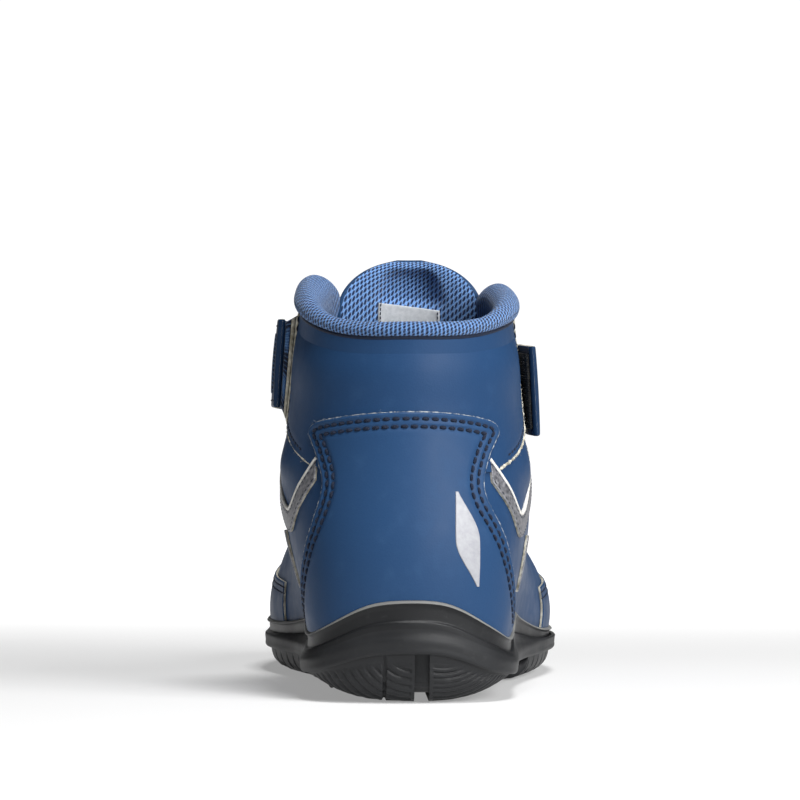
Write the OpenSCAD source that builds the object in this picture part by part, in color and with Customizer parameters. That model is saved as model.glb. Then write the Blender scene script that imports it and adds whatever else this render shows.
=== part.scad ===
// Boxing boot, right foot: one boot as an assembly of its real pieces.
// Units are millimetres. +Y runs from heel to toe, +X to the outer (lateral)
// side, +Z up. The tread rests on z = 0 and the origin is bottom centre.
//
// The upper is one skin S(u, v): u counts 18 stations round the foot from the
// heel centre over the lateral side, the toe and the medial side, v climbs
// from the feather line (0) over the bulge (1), the waist (2) and the ankle
// (3) to the top line and throat edge (4). Every panel is a closed shell
// between two offsets from that skin.

/* [Upper] */
// Thickness of the main leather panels
leather_t = 1.2; // [0.8:0.1:1.6]
// Thickness of the overlay panels sewn on top
overlay_t = 1.2; // [0.6:0.1:1.6]
// Depth of the foam layer's inner face below the skin
foam_in = 4; // [3:0.1:5]
// Thickness of the textile lining
lining_t = 0.8; // [0.5:0.1:1.2]
// Half height of the padded collar roll
roll_h = 5; // [3:0.5:7]
// Half thickness of the padded collar roll
roll_w = 4.3; // [3:0.1:5]

/* [Sole] */
// Height of the tread below the rubber cup
tread_h = 6; // [4:0.5:8]
// Depth of the tread sipes
sipe_d = 2; // [1:0.5:3]
// Width of the channel that splits the heel tread
groove_w = 5; // [3:0.5:8]
// Distance of that channel from the centre line
groove_x = 1.7; // [-4:0.1:6]
// Thickness of the rubber wall over the upper
wall_t = 2; // [1.2:0.1:2.4]
// Thickness of the sockliner
sock_t = 3.5; // [2:0.5:4]

/* [Strap] */
// Thickness of the padded ankle strap
strap_t = 2.6; // [1.6:0.1:3]
// Thickness of hook tape
tape_t = 0.9; // [0.5:0.1:1]

/* [Laces] */
// Rows of eyelets
lace_rows = 7; // [4:1:8]
// Radius of the lace
lace_r = 1; // [0.8:0.1:1.3]
// Radius of the holes in the eyestays
hole_r = 1.8; // [1.6:0.1:2]

/* [Hidden] */

leather = [0.20, 0.31, 0.43];
mesh = [0.42, 0.54, 0.70];
rubber = [0.20, 0.20, 0.21];
silver = [0.48, 0.48, 0.50];
cloth = [0.14, 0.17, 0.22];
foam = [0.75, 0.73, 0.66];
gap = 0.1;
centre_x = -2.1;
base_out = -0.3;
base_in = base_out - leather_t;
foam_out = base_in - 3.5 * gap;
lining_out = -foam_in - 3.5 * gap;
lining_in = lining_out - lining_t;
N = 18;
TOE = N / 2;

// Widest outline of the sole, heel centre first, then the lateral side.
EDGE = [[-2.5, -143], [22, -135.5], [34, -115], [36.5, -82], [40, -42], [48.5, 0],
    [56.2, 45], [52, 90], [31.5, 127], [-8, 143], [-37, 127], [-49.5, 93], [-52, 52],
    [-43.5, 10], [-37, -35], [-38.5, -80], [-38, -115], [-26.5, -135.5]];
// Height of the bulge above the feather line at each station.
BULGE = [32, 30, 27, 27, 27, 26, 24.5, 24, 26, 29, 26, 24.5, 25, 27, 28, 28, 28, 30];
// Where the rubber wall ends on the skin, at every half station: a wave.
WAVE = [1.1, 1.07, 0.9, 0.76, 0.7, 0.8, 0.97, 1, 0.9, 0.75, 0.6, 0.52, 0.52, 0.56, 0.64,
    0.76, 0.92, 1.08, 1.15, 1.1, 0.98, 0.88, 0.78, 0.7, 0.66, 0.64, 0.67, 0.76, 0.85, 0.9,
    0.9, 0.82, 0.75, 0.79, 0.92, 1.07];
// Height of the lower edge of the rubber wall, where the tread begins, likewise.
LIP = [17.3, 16.3, 12.4, 10, 9, 9, 9.5, 9.5, 9.5, 9.5, 9.5, 9.5, 9.5, 9.5, 10, 11, 13, 16.5,
    19, 16.5, 13, 11, 10, 9.5, 9.5, 9.5, 9.5, 9.5, 9.5, 9.5, 9.5, 9.5, 9.8, 11, 13.5, 16.5];
WAIST = [[-2.5, -139, 58], [20.5, -131.5, 58], [34, -112, 58], [40, -79, 58],
    [41.5, -48, 56], [41.5, -10, 50], [46, 36, 44], [42.5, 76, 42], [24.5, 108, 43],
    [-6.5, 122, 44], [-31, 110, 44], [-41.5, 80, 44], [-44, 42, 47], [-39.5, -4, 53],
    [-42, -44, 58], [-44.5, -79, 60], [-38.5, -112, 59], [-25.5, -131.5, 58]];
ANKLE = [[-2.5, -131.5, 90], [18.5, -124.5, 90], [32, -107, 90], [38, -80, 92],
    [37, -52, 92], [30, -19, 78], [30, 20, 62], [26.5, 54, 54], [15, 80, 50],
    [-4, 90, 50], [-20, 81, 52], [-28.5, 56, 57], [-32, 22, 66], [-31.5, -16, 81],
    [-40, -50, 94], [-43, -80, 93], [-37, -107, 91], [-23.5, -124.5, 90]];
TOP = [[-2.5, -130, 122], [17.5, -123, 122.5], [31, -106, 126], [34.5, -81, 130.5],
    [29.5, -57, 130], [19, -28, 103], [15.5, 8, 79], [12, 34, 65], [7.5, 50, 58],
    [-1, 56, 57], [-9, 50, 59], [-13, 34, 67], [-16.5, 8, 81], [-20, -28, 105],
    [-33, -57, 133], [-39, -81, 133], [-36, -106, 127], [-22.5, -123, 122.5]];

// Catmull-Rom spline through b and c, and round a closed or along an open list.
function spline(a, b, c, d, t) = 0.5 * (2 * b + (c - a) * t
    + (2 * a - 5 * b + 4 * c - d) * t * t + (3 * b - a - 3 * c + d) * t * t * t);
function wrap(i, n) = ((i % n) + n) % n;
function round_at(p, u) = let (n = len(p), i = floor(u))
    spline(p[wrap(i - 1, n)], p[wrap(i, n)], p[wrap(i + 1, n)], p[wrap(i + 2, n)], u - i);
function along(p, t) = let (m = len(p) - 1, i = max(0, min(m - 1, floor(t))),
    a = i > 0 ? p[i - 1] : 2 * p[0] - p[1],
    d = i < m - 1 ? p[i + 2] : 2 * p[m] - p[m - 1])
    spline(a, p[i], p[i + 1], d, t - i);
function unit(a) = a / norm(a);
function step(a, b, x) = let (t = max(0, min(1, (x - a) / (b - a)))) t * t * (3 - 2 * t);

// Sole: outline moved inwards by k, rocker of the underside, height of the floor.
function inset(u, k) = let (t = unit(round_at(EDGE, u + 0.02) - round_at(EDGE, u - 0.02)))
    round_at(EDGE, u) - k * [t[1], -t[0]];
function rocker(y) = 3 * pow(max(0, (-y - 126) / 17), 2) + 11 * pow(max(0, (y - 88) / 55), 2);
function base_z(y) = tread_h + 9 * pow(max(0, (y - 88) / 55), 2);
function floor_z(y) = base_z(y) + 5 - 2.5 * step(-40, 30, y);
function on_floor(u, k, dz) = let (p = inset(u, k)) [p[0], p[1], floor_z(p[1]) + dz];
function on_base(u, k, dz) = let (p = inset(u, k)) [p[0], p[1], base_z(p[1]) + dz];
function lip(u) = round_at(LIP, 2 * u);
function on_lip(u, k, dz) = let (p = inset(u, k)) [p[0], p[1], lip(u) + dz];
// The heel's underside is rounded across as well.
function crown(p) = 2.9 * pow(abs(p[0] + 1) / 24, 2.5) * step(20, -50, p[1]);
function under(u, k, g) = let (p = inset(u, k))
    [p[0], p[1], (1 - g) * (rocker(p[1]) + crown(p)) + g * lip(u)];

// The skin, its outward normal and a point d above it.
FEATHER = [for (k = [0:N - 1]) on_floor(k, 5.5, 0.3)];
SIDE = [for (k = [0:N - 1]) let (p = inset(k, 2.8)) [p[0], p[1], BULGE[k]]];
function column(u) = [round_at(FEATHER, u), round_at(SIDE, u), round_at(WAIST, u),
    round_at(ANKLE, u), round_at(TOP, u)];
function skin0(u, v) = along(column(u), v);
function skin_n(u, v) = unit(cross(skin0(u + 0.03, v) - skin0(u - 0.03, v),
    skin0(u, v + 0.03) - skin0(u, v - 0.03)));
function skin(u, v, d) = skin0(u, v) + d * skin_n(u, v);

// Grids of [u, v] pairs: rows of constant v between two edges, or columns of
// constant u between two edges. An edge is a list of [position, value] pairs.
function rows(left, right, v0, v1, nv, nu) = [for (j = [0:nv])
    let (v = v0 + (v1 - v0) * j / nv, a = lookup(v, left), b = lookup(v, right))
    [for (i = [0:nu]) [a + (b - a) * i / nu, v]]];
function cols(low, high, u0, u1, nu, nv) = [for (j = [0:nv])
    [for (i = [0:nu]) let (u = u0 + (u1 - u0) * i / nu, a = lookup(u, low),
        b = lookup(u, high)) [u, a + (b - a) * j / nv]]];
function mirrored(e) = [for (i = [len(e) - 1:-1:0]) [N - e[i][0], e[i][1]]];
function swapped(e) = [for (p = e) [p[0], N - p[1]]];
function shifted(e, k) = [for (p = e) [p[0], p[1] + k]];
function shift_u(e, k) = [for (p = e) [p[0] + k, p[1]]];
function wave(u) = round_at(WAVE, 2 * u);
function wave_edge(u0, u1, k) = [for (i = [0:24])
    let (u = u0 + (u1 - u0) * i / 24) [u, wave(u) + k]];

// Closed slab between two grids of points; b lies on the side that the cross
// product of the column and the row direction points to.
module slab(a, b) {
    nr = len(a);
    nc = len(a[0]);
    m = nr * nc;
    pts = concat([for (r = a) for (p = r) p], [for (r = b) for (p = r) p]);
    sheet = [for (j = [0:nr - 2]) for (i = [0:nc - 2]) let (k = j * nc + i)
        each [[k, k + 1, k + nc + 1], [k, k + nc + 1, k + nc]]];
    rim = concat([for (i = [0:nc - 1]) i], [for (j = [1:nr - 1]) j * nc + nc - 1],
        [for (i = [nc - 2:-1:0]) (nr - 1) * nc + i], [for (j = [nr - 2:-1:1]) j * nc]);
    n = len(rim);
    walls = [for (i = [0:n - 1]) let (p = rim[i], q = rim[(i + 1) % n])
        each [[p, m + p, m + q], [p, m + q, q]]];
    polyhedron(pts, concat(sheet, [for (f = sheet) [m + f[0], m + f[2], m + f[1]]], walls),
        convexity = 8);
}

// Panel of the upper over a grid, from d0 (inner face) to d1 (outer face).
module panel(g, d0, d1) {
    slab([for (r = g) [for (p = r) skin(p[0], p[1], d0)]],
        [for (r = g) [for (p = r) skin(p[0], p[1], d1)]]);
}

// Solid through closed rings of points that start at the heel centre and run
// round the foot; the first and last ring are closed by a ladder of strips.
module rings(r) {
    n = len(r[0]);
    m = len(r);
    h = n / 2;
    side = [for (j = [0:m - 2]) for (i = [0:n - 1])
        let (a = j * n + i, b = j * n + (i + 1) % n)
        each [[a, a + n, b + n], [a, b + n, b]]];
    lid = [for (i = [0:h - 1]) let (a = i, b = i + 1, c = n - i - 1, d = (n - i) % n)
        each concat(i < h - 1 ? [[a, b, c]] : [], i > 0 ? [[a, c, d]] : [])];
    top = (m - 1) * n;
    polyhedron([for (q = r) for (p = q) p], concat(side, lid,
        [for (f = lid) [top + f[0], top + f[2], top + f[1]]]), convexity = 8);
}

// Tube of k sides along a list of points.
module tube(path, r, k) {
    n = len(path);
    dir = [for (i = [0:n - 1]) unit(path[min(n - 1, i + 1)] - path[max(0, i - 1)])];
    side = [for (i = [0:n - 1]) unit(cross(dir[i], abs(dir[i][2]) > 0.9 ? [0, 1, 0] : [0, 0, 1]))];
    pts = [for (i = [0:n - 1]) let (w = cross(dir[i], side[i])) for (j = [0:k - 1])
        path[i] + r * (cos(360 * j / k) * side[i] + sin(360 * j / k) * w)];
    wall = [for (i = [0:n - 2]) for (j = [0:k - 1])
        let (a = i * k + j, b = i * k + (j + 1) % k)
        each [[a, a + k, b + k], [a, b + k, b]]];
    polyhedron(pts, concat(wall, [[for (j = [0:k - 1]) j]],
        [[for (j = [k - 1:-1:0]) (n - 1) * k + j]]), convexity = 8);
}

// ---------------------------------------------------------------- sole
US = [for (i = [0:71]) i / 4];
module outsole_cup() color(rubber) rings([
    [for (u = US) on_floor(u, 6.2, 0)],
    [for (u = US) skin(u, 0, 0.2)],
    [for (u = US) skin(u, wave(u) * 0.3, 0.3)],
    [for (u = US) skin(u, wave(u) * 0.65, 0.35)],
    [for (u = US) skin(u, wave(u), 0.3)],
    [for (u = US) skin(u, wave(u), wall_t)],
    [for (u = US) skin(u, wave(u) * 0.62, wall_t + 0.6)],
    [for (u = US) on_lip(u, 0, 4)],
    [for (u = US) on_lip(u, 0.3, 1)],
    [for (u = US) on_lip(u, 1, 0)],
    [for (u = US) on_base(u, 4.5, 1.2)],
    [for (u = US) on_base(u, 12, 0)]]);

// Tread between the lip of the cup and the ground, before it is divided.
module tread_body() rings([
    [for (u = US) on_base(u, 12, -gap)],
    [for (u = US) on_base(u, 4.5, 1.2 - gap)],
    [for (u = US) on_lip(u, 1, 0)],
    [for (u = US) under(u, 1.6, 0.6)],
    [for (u = US) under(u, 3.2, 0.33)],
    [for (u = US) under(u, 7, 0.1)],
    [for (u = US) under(u, 12, 0)]]);
module sipes(cx, cy, r0, dr, n) for (i = [0:n - 1]) translate([cx, cy, -1]) difference() {
    cylinder(r = r0 + i * dr + 0.6, h = 1 + sipe_d, $fn = 60);
    translate([0, 0, -1]) cylinder(r = r0 + i * dr - 0.6, h = 3 + sipe_d, $fn = 60);
}
module forefoot_tread() color(rubber) difference() {
    intersection() {
        tread_body();
        translate([-60, -12, -1.3]) cube([120, 170, 40]);
    }
    sipes(0, 38, 10, 12, 4);
}
// Half of the heel tread: columns run from the lip inwards to the channel.
HEEL_K = [1, 1.6, 3.2, 7, 12];
HEEL_G = [1, 0.6, 0.33, 0.1, 0];
HEEL_FRONT = -46;
function heel_end(f, x, z) = [x, HEEL_FRONT - (84 * (1 - f)), z];
function heel_xy(p, side, x) = [side > 0 ? max(p[0], x) : min(p[0], x), min(p[1], HEEL_FRONT), p[2]];
module heel_tread(side) {
    x = groove_x + side * groove_w / 2;
    u0 = side > 0 ? 0.24 : 14.2;
    u1 = side > 0 ? 3.93 : 18.08;
    us = [for (i = [0:20]) u0 + (u1 - u0) * i / 20];
    f = [for (i = [0:20]) side > 0 ? i / 20 : 1 - i / 20];
    low = [for (i = [0:20]) heel_xy(under(us[i], 12, 0), side, x)];
    high = [for (i = [0:20]) heel_xy(on_base(us[i], 12, 0), side, x)];
    slab(concat([for (j = [0:4]) [for (u = us)
            heel_xy(under(u, HEEL_K[j], HEEL_G[j]) - [0, 0, j == 0 ? 0.6 : 0], side, x)]],
            [[for (i = [0:20]) let (p = 0.5 * (low[i] + heel_end(f[i], x, 0)))
                [p[0], p[1], crown(p) + 0.5 * rocker(low[i][1])]]],
            [[for (i = [0:20]) heel_end(f[i], x, 0)]]),
        concat([[for (u = us) heel_xy(on_lip(u, 1, 0), side, x)],
            [for (u = us) heel_xy(0.6 * on_lip(u, 1, 0) + 0.4 * on_base(u, 4.5, 1.2), side, x)],
            [for (u = us) heel_xy(on_base(u, 4.5, 1.2), side, x)],
            [for (u = us) heel_xy(0.6 * on_base(u, 4.5, 1.2) + 0.4 * on_base(u, 12, 0), side, x)],
            high],
            [[for (i = [0:20]) 0.5 * (high[i] + heel_end(f[i], x, base_z(0)))]],
            [[for (i = [0:20]) heel_end(f[i], x, base_z(0))]]));
}
module heel_tread_lateral() color(rubber) difference() {
    heel_tread(1);
    sipes(groove_x, HEEL_FRONT, 26, 12, 5);
}
module heel_tread_medial() color(rubber) difference() {
    heel_tread(-1);
    sipes(groove_x, HEEL_FRONT, 26, 12, 5);
}

module insole_board() color(foam) rings([
    [for (u = US) on_floor(u, 6.6, 1.2)],
    [for (u = US) on_floor(u, 6.6, 0.1)]]);
module sockliner() color(cloth) rings([
    [for (u = US) on_floor(u, 12.6, 1.3 + sock_t)],
    [for (u = US) on_floor(u, 12.6, 1.3)]]);

// ---------------------------------------------------------------- upper
LOW = 0.14;
QUARTER_FRONT = [[0, 6], [2, 6.6], [3, 7.3], [4, 8.3]];
EYE_U = [for (i = [0:lace_rows - 1]) 5 + 3 * i / (lace_rows - 1)];
EYE_V = 3.8;

// Bores along the skin normal for the lace, on one side.
module eye_bores(side) for (e = EYE_U) {
    u = side > 0 ? e : N - e;
    n = skin_n(u, EYE_V);
    translate(skin(u, EYE_V, 0)) rotate([0, acos(n[2]), atan2(n[1], n[0])])
        translate([0, 0, -4]) cylinder(r = hole_r, h = 8, $fn = 24);
}
module quarter_lateral() color(leather) difference() {
    panel(rows([[0, 0.03], [4, 0.03]], QUARTER_FRONT, LOW, 3.98, 14, 24), base_in, base_out);
    eye_bores(1);
}
module quarter_medial() color(leather) difference() {
    panel(rows(swapped(QUARTER_FRONT), [[0, N - 0.03], [4, N - 0.03]], LOW, 3.98, 14, 24),
        base_in, base_out);
    eye_bores(-1);
}
module vamp() color(leather)
    panel(rows(shifted(QUARTER_FRONT, 0.04), shifted(swapped(QUARTER_FRONT), -0.04),
        LOW, 3.98, 14, 24), base_in, base_out);
module mudguard() color(leather)
    panel(cols(wave_edge(5.4, 12.6, 0.04),
        [[5.4, 1.35], [6.4, 1.6], [7.6, 2.1], [TOE, 2.5], [10.4, 2.1], [11.6, 1.6], [12.6, 1.35]],
        5.4, 12.6, 28, 6), 0.25, overlay_t);

CAP_L = [[1.13, -2.75], [1.6, -2.1], [2, -1.62], [2.45, -1.38], [2.8, -1.56], [3.05, -1.82],
    [3.18, -1.92], [3.24, -1.88], [3.27, -1.7]];
CAP_R = [[1.13, 2.65], [1.6, 1.95], [2, 1.47], [2.45, 1.14], [2.8, 1.3], [3.05, 1.5],
    [3.18, 1.6], [3.24, 1.56], [3.27, 1.4]];
// The cap's lower edge follows the wave of the rubber and its top edge is arched.
function cap_v(u, v) = v + (wave(u) - 1.11) * max(0, (1.9 - v) / 0.77)
    - 0.05 * u * u * max(0, (v - 2.45) / 0.8);
module heel_cap() color(leather) {
    g = rows(CAP_L, CAP_R, 1.13, 3.25, 18, 16);
    panel([for (r = g) [for (p = r) [p[0], cap_v(p[0], p[1])]]], 0, overlay_t);
}
COLLAR_LOW = [[-3.1, 3], [-2.6, 2.86], [-2.05, 2.7], [-2, 3.08], [-1.8, 3.13], [-1.2, 3.2],
    [-0.6, 3.25], [0, 3.27], [0.6, 3.25], [1.2, 3.2], [1.5, 3.16], [1.66, 3.1], [1.75, 2.66],
    [2.4, 2.8], [3.1, 3]];
module collar_panel() color(leather)
    panel(cols(COLLAR_LOW, [[-3.1, 4.01], [3.1, 4.01]], -3.1, 3.1, 30, 6), 0, overlay_t);

COUNTER_TOP = [[-4.3, 1.6], [-2.5, 2.25], [2.5, 2.25], [4.3, 1.6]];
module heel_counter() color(cloth)
    panel(cols([[-4.3, LOW], [4.3, LOW]], COUNTER_TOP, -4.3, 4.3, 30, 6), foam_out - 1.8, foam_out);
module toe_puff() color(cloth)
    panel(cols([[7.6, LOW], [10.4, LOW]], [[7.6, 1.4], [TOE, 1.8], [10.4, 1.4]], 7.6, 10.4, 16, 5),
        foam_out - 1.2, foam_out);
module collar_foam() color(foam)
    panel(cols(shifted(COUNTER_TOP, 0.05), [[-4.3, 3.9], [4.3, 3.9]], -4.3, 4.3, 30, 9),
        -foam_in, foam_out);
module foam_lateral() color(foam)
    panel(cols([[4.35, LOW], [7.5, LOW]], [[4.35, 3.6], [4.7, 3.5], [7.5, 3.4]], 4.35, 7.5, 14, 12),
        -foam_in, foam_out);
module foam_medial() color(foam)
    panel(cols([[10.5, LOW], [13.65, LOW]], [[10.5, 3.4], [13.3, 3.5], [13.65, 3.6]],
        10.5, 13.65, 14, 12), -foam_in, foam_out);
module lining_heel() color(cloth)
    panel(cols([[-4.6, LOW], [4.6, LOW]], [[-4.6, 3.6], [-4.3, 3.95], [4.3, 3.95], [4.6, 3.6]],
        -4.6, 4.6, 28, 10), lining_in, lining_out);
module lining_front() color(cloth)
    panel(cols([[4.65, LOW], [13.35, LOW]], [[4.65, 3.55], [8, 3.5], [TOE, 3.85], [10, 3.5],
        [13.35, 3.55]], 4.65, 13.35, 28, 10), lining_in, lining_out);

// Padded roll along the top line from throat corner to throat corner.
ROLL_END = 4.2;
ROLL_K = 12;
// The roll is slimmer across the back and tapers at its ends.
function roll_size(u) = min(1, 0.45 + 2 * (ROLL_END - abs(u)))
    * (0.6 + 0.4 * step(1.3, 2.8, abs(u)));
function roll_pt(u, a) = let (n = skin_n(u, 3.97), t = unit(skin0(u, 4) - skin0(u, 3.9)),
    s = roll_size(u)) skin(u, 4, -1.9) + (0.2 + roll_h * s * (1 + sin(a))) * t
    + roll_w * s * cos(a) * n;
module collar_roll() color(mesh) {
    k = ROLL_K;
    m = 41;
    us = [for (i = [0:m - 1]) ROLL_END * (2 * i / (m - 1) - 1)];
    wall = [for (i = [0:m - 2]) for (j = [0:k - 1])
        let (a = i * k + j, b = i * k + (j + 1) % k) each [[a, a + k, b + k], [a, b + k, b]]];
    end = (m - 1) * k;
    polyhedron([for (u = us) for (j = [0:k - 1]) roll_pt(u, 360 * j / k)], concat(wall,
        [for (j = [1:k - 2]) [0, j, j + 1]],
        [for (j = [1:k - 2]) [end, end + j + 1, end + j]]), convexity = 8);
}

// ---------------------------------------------------------------- lacing
STAY_LOW = [[4.75, 3.5], [7, 3.45], [8.3, 3.5]];
STAY_TOP = [[4.75, 3.98], [8.3, 3.98]];
module eyestay_lateral() color(leather) difference() {
    panel(cols(STAY_LOW, STAY_TOP, 4.75, 8.3, 20, 4), 0, overlay_t);
    eye_bores(1);
}
module eyestay_medial() color(leather) difference() {
    panel(cols(mirrored(STAY_LOW), mirrored(STAY_TOP), N - 8.3, N - 4.75, 20, 4), 0, overlay_t);
    eye_bores(-1);
}
module eyelets() color(silver) for (side = [1, -1]) for (e = EYE_U) {
    u = side > 0 ? e : N - e;
    n = skin_n(u, EYE_V);
    translate(skin(u, EYE_V, overlay_t + 0.2)) rotate([0, acos(n[2]), atan2(n[1], n[0])])
        difference() {
            cylinder(r = 3.1, h = 0.5, $fn = 24);
            translate([0, 0, -1]) cylinder(r = hole_r + 0.25, h = 3, $fn = 24);
        }
}
// One lace laid in straight bars: over the tongue at each row, along the
// inside of the eyestay to the next row, both ends tucked away inside.
function lace_row(e, s) = let (u = s > 0 ? e : N - e, w = N - u) [
    skin(u, EYE_V, -2.9), skin(u, EYE_V, 0.4), skin(u, EYE_V, 2.7),
    skin(u, 3.98, 3.2), 0.75 * skin(u, 4, 3.2) + 0.25 * skin(w, 4, 3.2) + [0, 0, 0.5],
    0.5 * skin(u, 4, 3.2) + 0.5 * skin(w, 4, 3.2) + [0, 0, 0.8],
    0.25 * skin(u, 4, 3.2) + 0.75 * skin(w, 4, 3.2) + [0, 0, 0.5],
    skin(w, 3.98, 3.2), skin(w, EYE_V, 2.7), skin(w, EYE_V, 0.4), skin(w, EYE_V, -2.9)];
module lace() color(cloth)
    tube([for (i = [0:lace_rows - 1]) each lace_row(EYE_U[i], i % 2 == 0 ? 1 : -1)], lace_r, 8);

// ---------------------------------------------------------------- tongue
// Rows of the tongue's outer face: y, z, half width, sag of the edges, thickness.
TONGUE = [[58, 46.5, 12, 5, 3], [46, 51, 16, 7, 3.5], [34, 58.5, 18, 9, 4], [20, 67, 20, 11, 4.5],
    [5, 76.5, 21, 12, 5], [-10, 87, 22, 12, 5], [-24, 98, 22, 11, 5], [-37, 108.5, 22, 9.5, 5.5],
    [-46, 118, 22.6, 9, 6], [-48.6, 126, 24, 9.3, 6.5], [-49.6, 134, 24.7, 9.6, 6.5],
    [-49.8, 141.5, 21.5, 7.3, 6], [-49.6, 147.3, 14.5, 3.4, 5], [-49.2, 151, 4.5, 0.4, 2.8]];
TONGUE_SPLIT = 8;
TONGUE_X = -1.5;
function tongue_pt(r, a, d) = let (q = along(TONGUE, r),
    t = unit(along(TONGUE, min(13, r + 0.05)) * [[1, 0], [0, 1], [0, 0], [0, 0], [0, 0]]
        - along(TONGUE, max(0, r - 0.05)) * [[1, 0], [0, 1], [0, 0], [0, 0], [0, 0]]),
    k = q[3] * a * a + d * q[4])
    [TONGUE_X + q[2] * a, q[0] - k * t[1], q[1] + k * t[0]];
module tongue_part(r0, r1, n) {
    rs = [for (j = [0:n]) r0 + (r1 - r0) * j / n];
    slab([for (r = rs) [for (i = [-5:5]) tongue_pt(r, i / 5, 0)]],
        [for (r = rs) [for (i = [-5:5]) tongue_pt(r, i / 5, 1)]]);
}
module tongue() color(mesh) tongue_part(0, TONGUE_SPLIT, 16);
module tongue_top() color(mesh) tongue_part(TONGUE_SPLIT + 0.05, 13, 10);
module tongue_label() color(silver) {
    rs = [for (j = [0:3]) 8.9 + 1.5 * j / 3];
    slab([for (r = rs) [for (i = [-4:4]) tongue_pt(r, i * 0.1, 1.02)]],
        [for (r = rs) [for (i = [-4:4]) tongue_pt(r, i * 0.1, 1.16)]]);
}

// ---------------------------------------------------------------- trims
CHEV_LOW = [[1.35, 2.5], [1.8, 2.2], [2.25, 1.9], [2.8, 2.14], [3.5, 2.5], [4.2, 2.82]];
CHEV_TOP = [[1.35, 2.72], [1.8, 2.42], [2.25, 2.12], [2.8, 2.36], [3.5, 2.7], [4.2, 2.94]];
STRIPE_L = [[1.3, 2.95], [1.6, 2.82], [1.95, 2.84]];
module chevron_lateral() color(silver)
    panel(cols(CHEV_LOW, CHEV_TOP, 1.35, 4.2, 19, 1), 0, 1);
module chevron_medial() color(silver)
    panel(cols(mirrored(shift_u(CHEV_LOW, 0.25)), mirrored(shift_u(CHEV_TOP, 0.25)),
        N - 4.45, N - 1.6, 19, 1), 0, 1);
module stripe_lateral() color(silver)
    panel(rows(STRIPE_L, shifted(STRIPE_L, 0.16), 1.3, 1.9, 5, 1), 0, 1);
module stripe_medial() color(silver)
    panel(rows(shifted(swapped(STRIPE_L), -0.16), swapped(STRIPE_L), 1.3, 1.9, 5, 1), 0, 1);
// Plain lozenge on the heel cap.
module heel_patch() color(silver) {
    // height on the skin, middle and half width of a slightly leaning lozenge
    half = [[1.35, 0.95, 0.02], [1.88, 0.8, 0.19], [2.4, 0.66, 0.02]];
    panel(rows([for (p = half) [p[0], p[1] - p[2]]], [for (p = half) [p[0], p[1] + p[2]]],
        1.35, 2.4, 10, 2), overlay_t + gap, overlay_t + 0.8);
}

// ---------------------------------------------------------------- strap
// Lower and upper edge of the strap's middle surface, medial anchor first.
STRAP_LOW = [[-47.5, -70, 99], [-48.6, -58, 99], [-46.5, -42, 98.5], [-37.5, -22, 97.5],
    [-21, -6, 96.5], [-2, 0, 95.5], [17, -6.5, 94.5], [32, -22, 92.5], [40.5, -42, 90.5],
    [43.5, -58, 89.5], [45.8, -71, 89]];
STRAP_TOP = [[-45.5, -75, 130], [-46, -65, 130], [-42, -55, 129], [-34, -43, 126.5],
    [-19, -34, 123], [-1, -31, 121.5], [16, -34.5, 121.5], [29.5, -45, 122], [37, -57, 121.5],
    [40.3, -68, 121], [42.5, -79, 120.5]];
SWING = 1;
PEEL = 7.6;
function strap0(t, s) = (1 - s) * along(STRAP_LOW, t) + s * along(STRAP_TOP, t);
function strap_n(t, s) = unit(cross(strap0(t, s + 0.02) - strap0(t, s - 0.02),
    strap0(t + 0.02, s) - strap0(t - 0.02, s)));
function strap_at(t, s, d) = strap0(t, s) + d * strap_n(t, s);
module strap_piece(t0, t1, n, s0, s1, d0, d1) {
    ts = [for (i = [0:n]) t0 + (t1 - t0) * i / n];
    ss = [for (j = [0:4]) s0 + (s1 - s0) * j / 4];
    slab([for (s = ss) [for (t = ts) strap_at(t, s, d1)]],
        [for (s = ss) [for (t = ts) strap_at(t, s, d0)]]);
}
H = strap_t / 2;
module strap_base() color(leather) strap_piece(0, SWING - 0.02, 3, 0, 1, -H, H);
module strap_front() color(leather) strap_piece(SWING + 0.02, PEEL - 0.015, 20, 0, 1, -H, H);
module strap_end() color(leather) strap_piece(PEEL + 0.015, 10, 8, 0, 1, -H, H);
module hook_tape() color(cloth) strap_piece(8.3, 9.9, 6, 0.08, 0.92, -H - gap - tape_t, -H - gap);
// Padded stack that carries the strap on the medial quarter.
module strap_anchor() color(leather) {
    us = [for (i = [0:4]) i / 4];
    slab([for (s = us) [for (i = us) skin(-3.95 + 0.75 * i, 2.95 + 0.98 * s, 0.05)]],
        [for (s = us) [for (i = us) strap_at(0.9 - 0.9 * i, 0.04 + 0.92 * s, -H - gap)]]);
}
module loop_pad() color(cloth)
    panel(cols([[3.4, 3.02], [4.4, 3.02]], [[3.4, 3.8], [4.4, 3.7]], 3.4, 4.4, 6, 4), 0, 1.3);

// The sole is widest on the lateral side; this brings its middle over the origin.
translate([centre_x, 0, 0]) {
outsole_cup();
heel_tread_lateral();
heel_tread_medial();
forefoot_tread();
insole_board();
sockliner();
heel_counter();
toe_puff();
quarter_lateral();
quarter_medial();
vamp();
mudguard();
heel_cap();
collar_panel();
collar_foam();
collar_roll();
foam_lateral();
foam_medial();
lining_heel();
lining_front();
eyestay_lateral();
eyestay_medial();
eyelets();
lace();
tongue();
tongue_top();
tongue_label();
chevron_lateral();
chevron_medial();
stripe_lateral();
stripe_medial();
strap_anchor();
strap_base();
strap_front();
strap_end();
hook_tape();
loop_pad();
heel_patch();
}
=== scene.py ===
"""Boxing boot, right foot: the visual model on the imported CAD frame.

Lengths in the shape section are millimetres, as in part.scad; mesh() turns
them into metres.
"""

import math

import bpy
import numpy as np
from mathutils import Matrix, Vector
from mathutils.kdtree import KDTree


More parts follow.
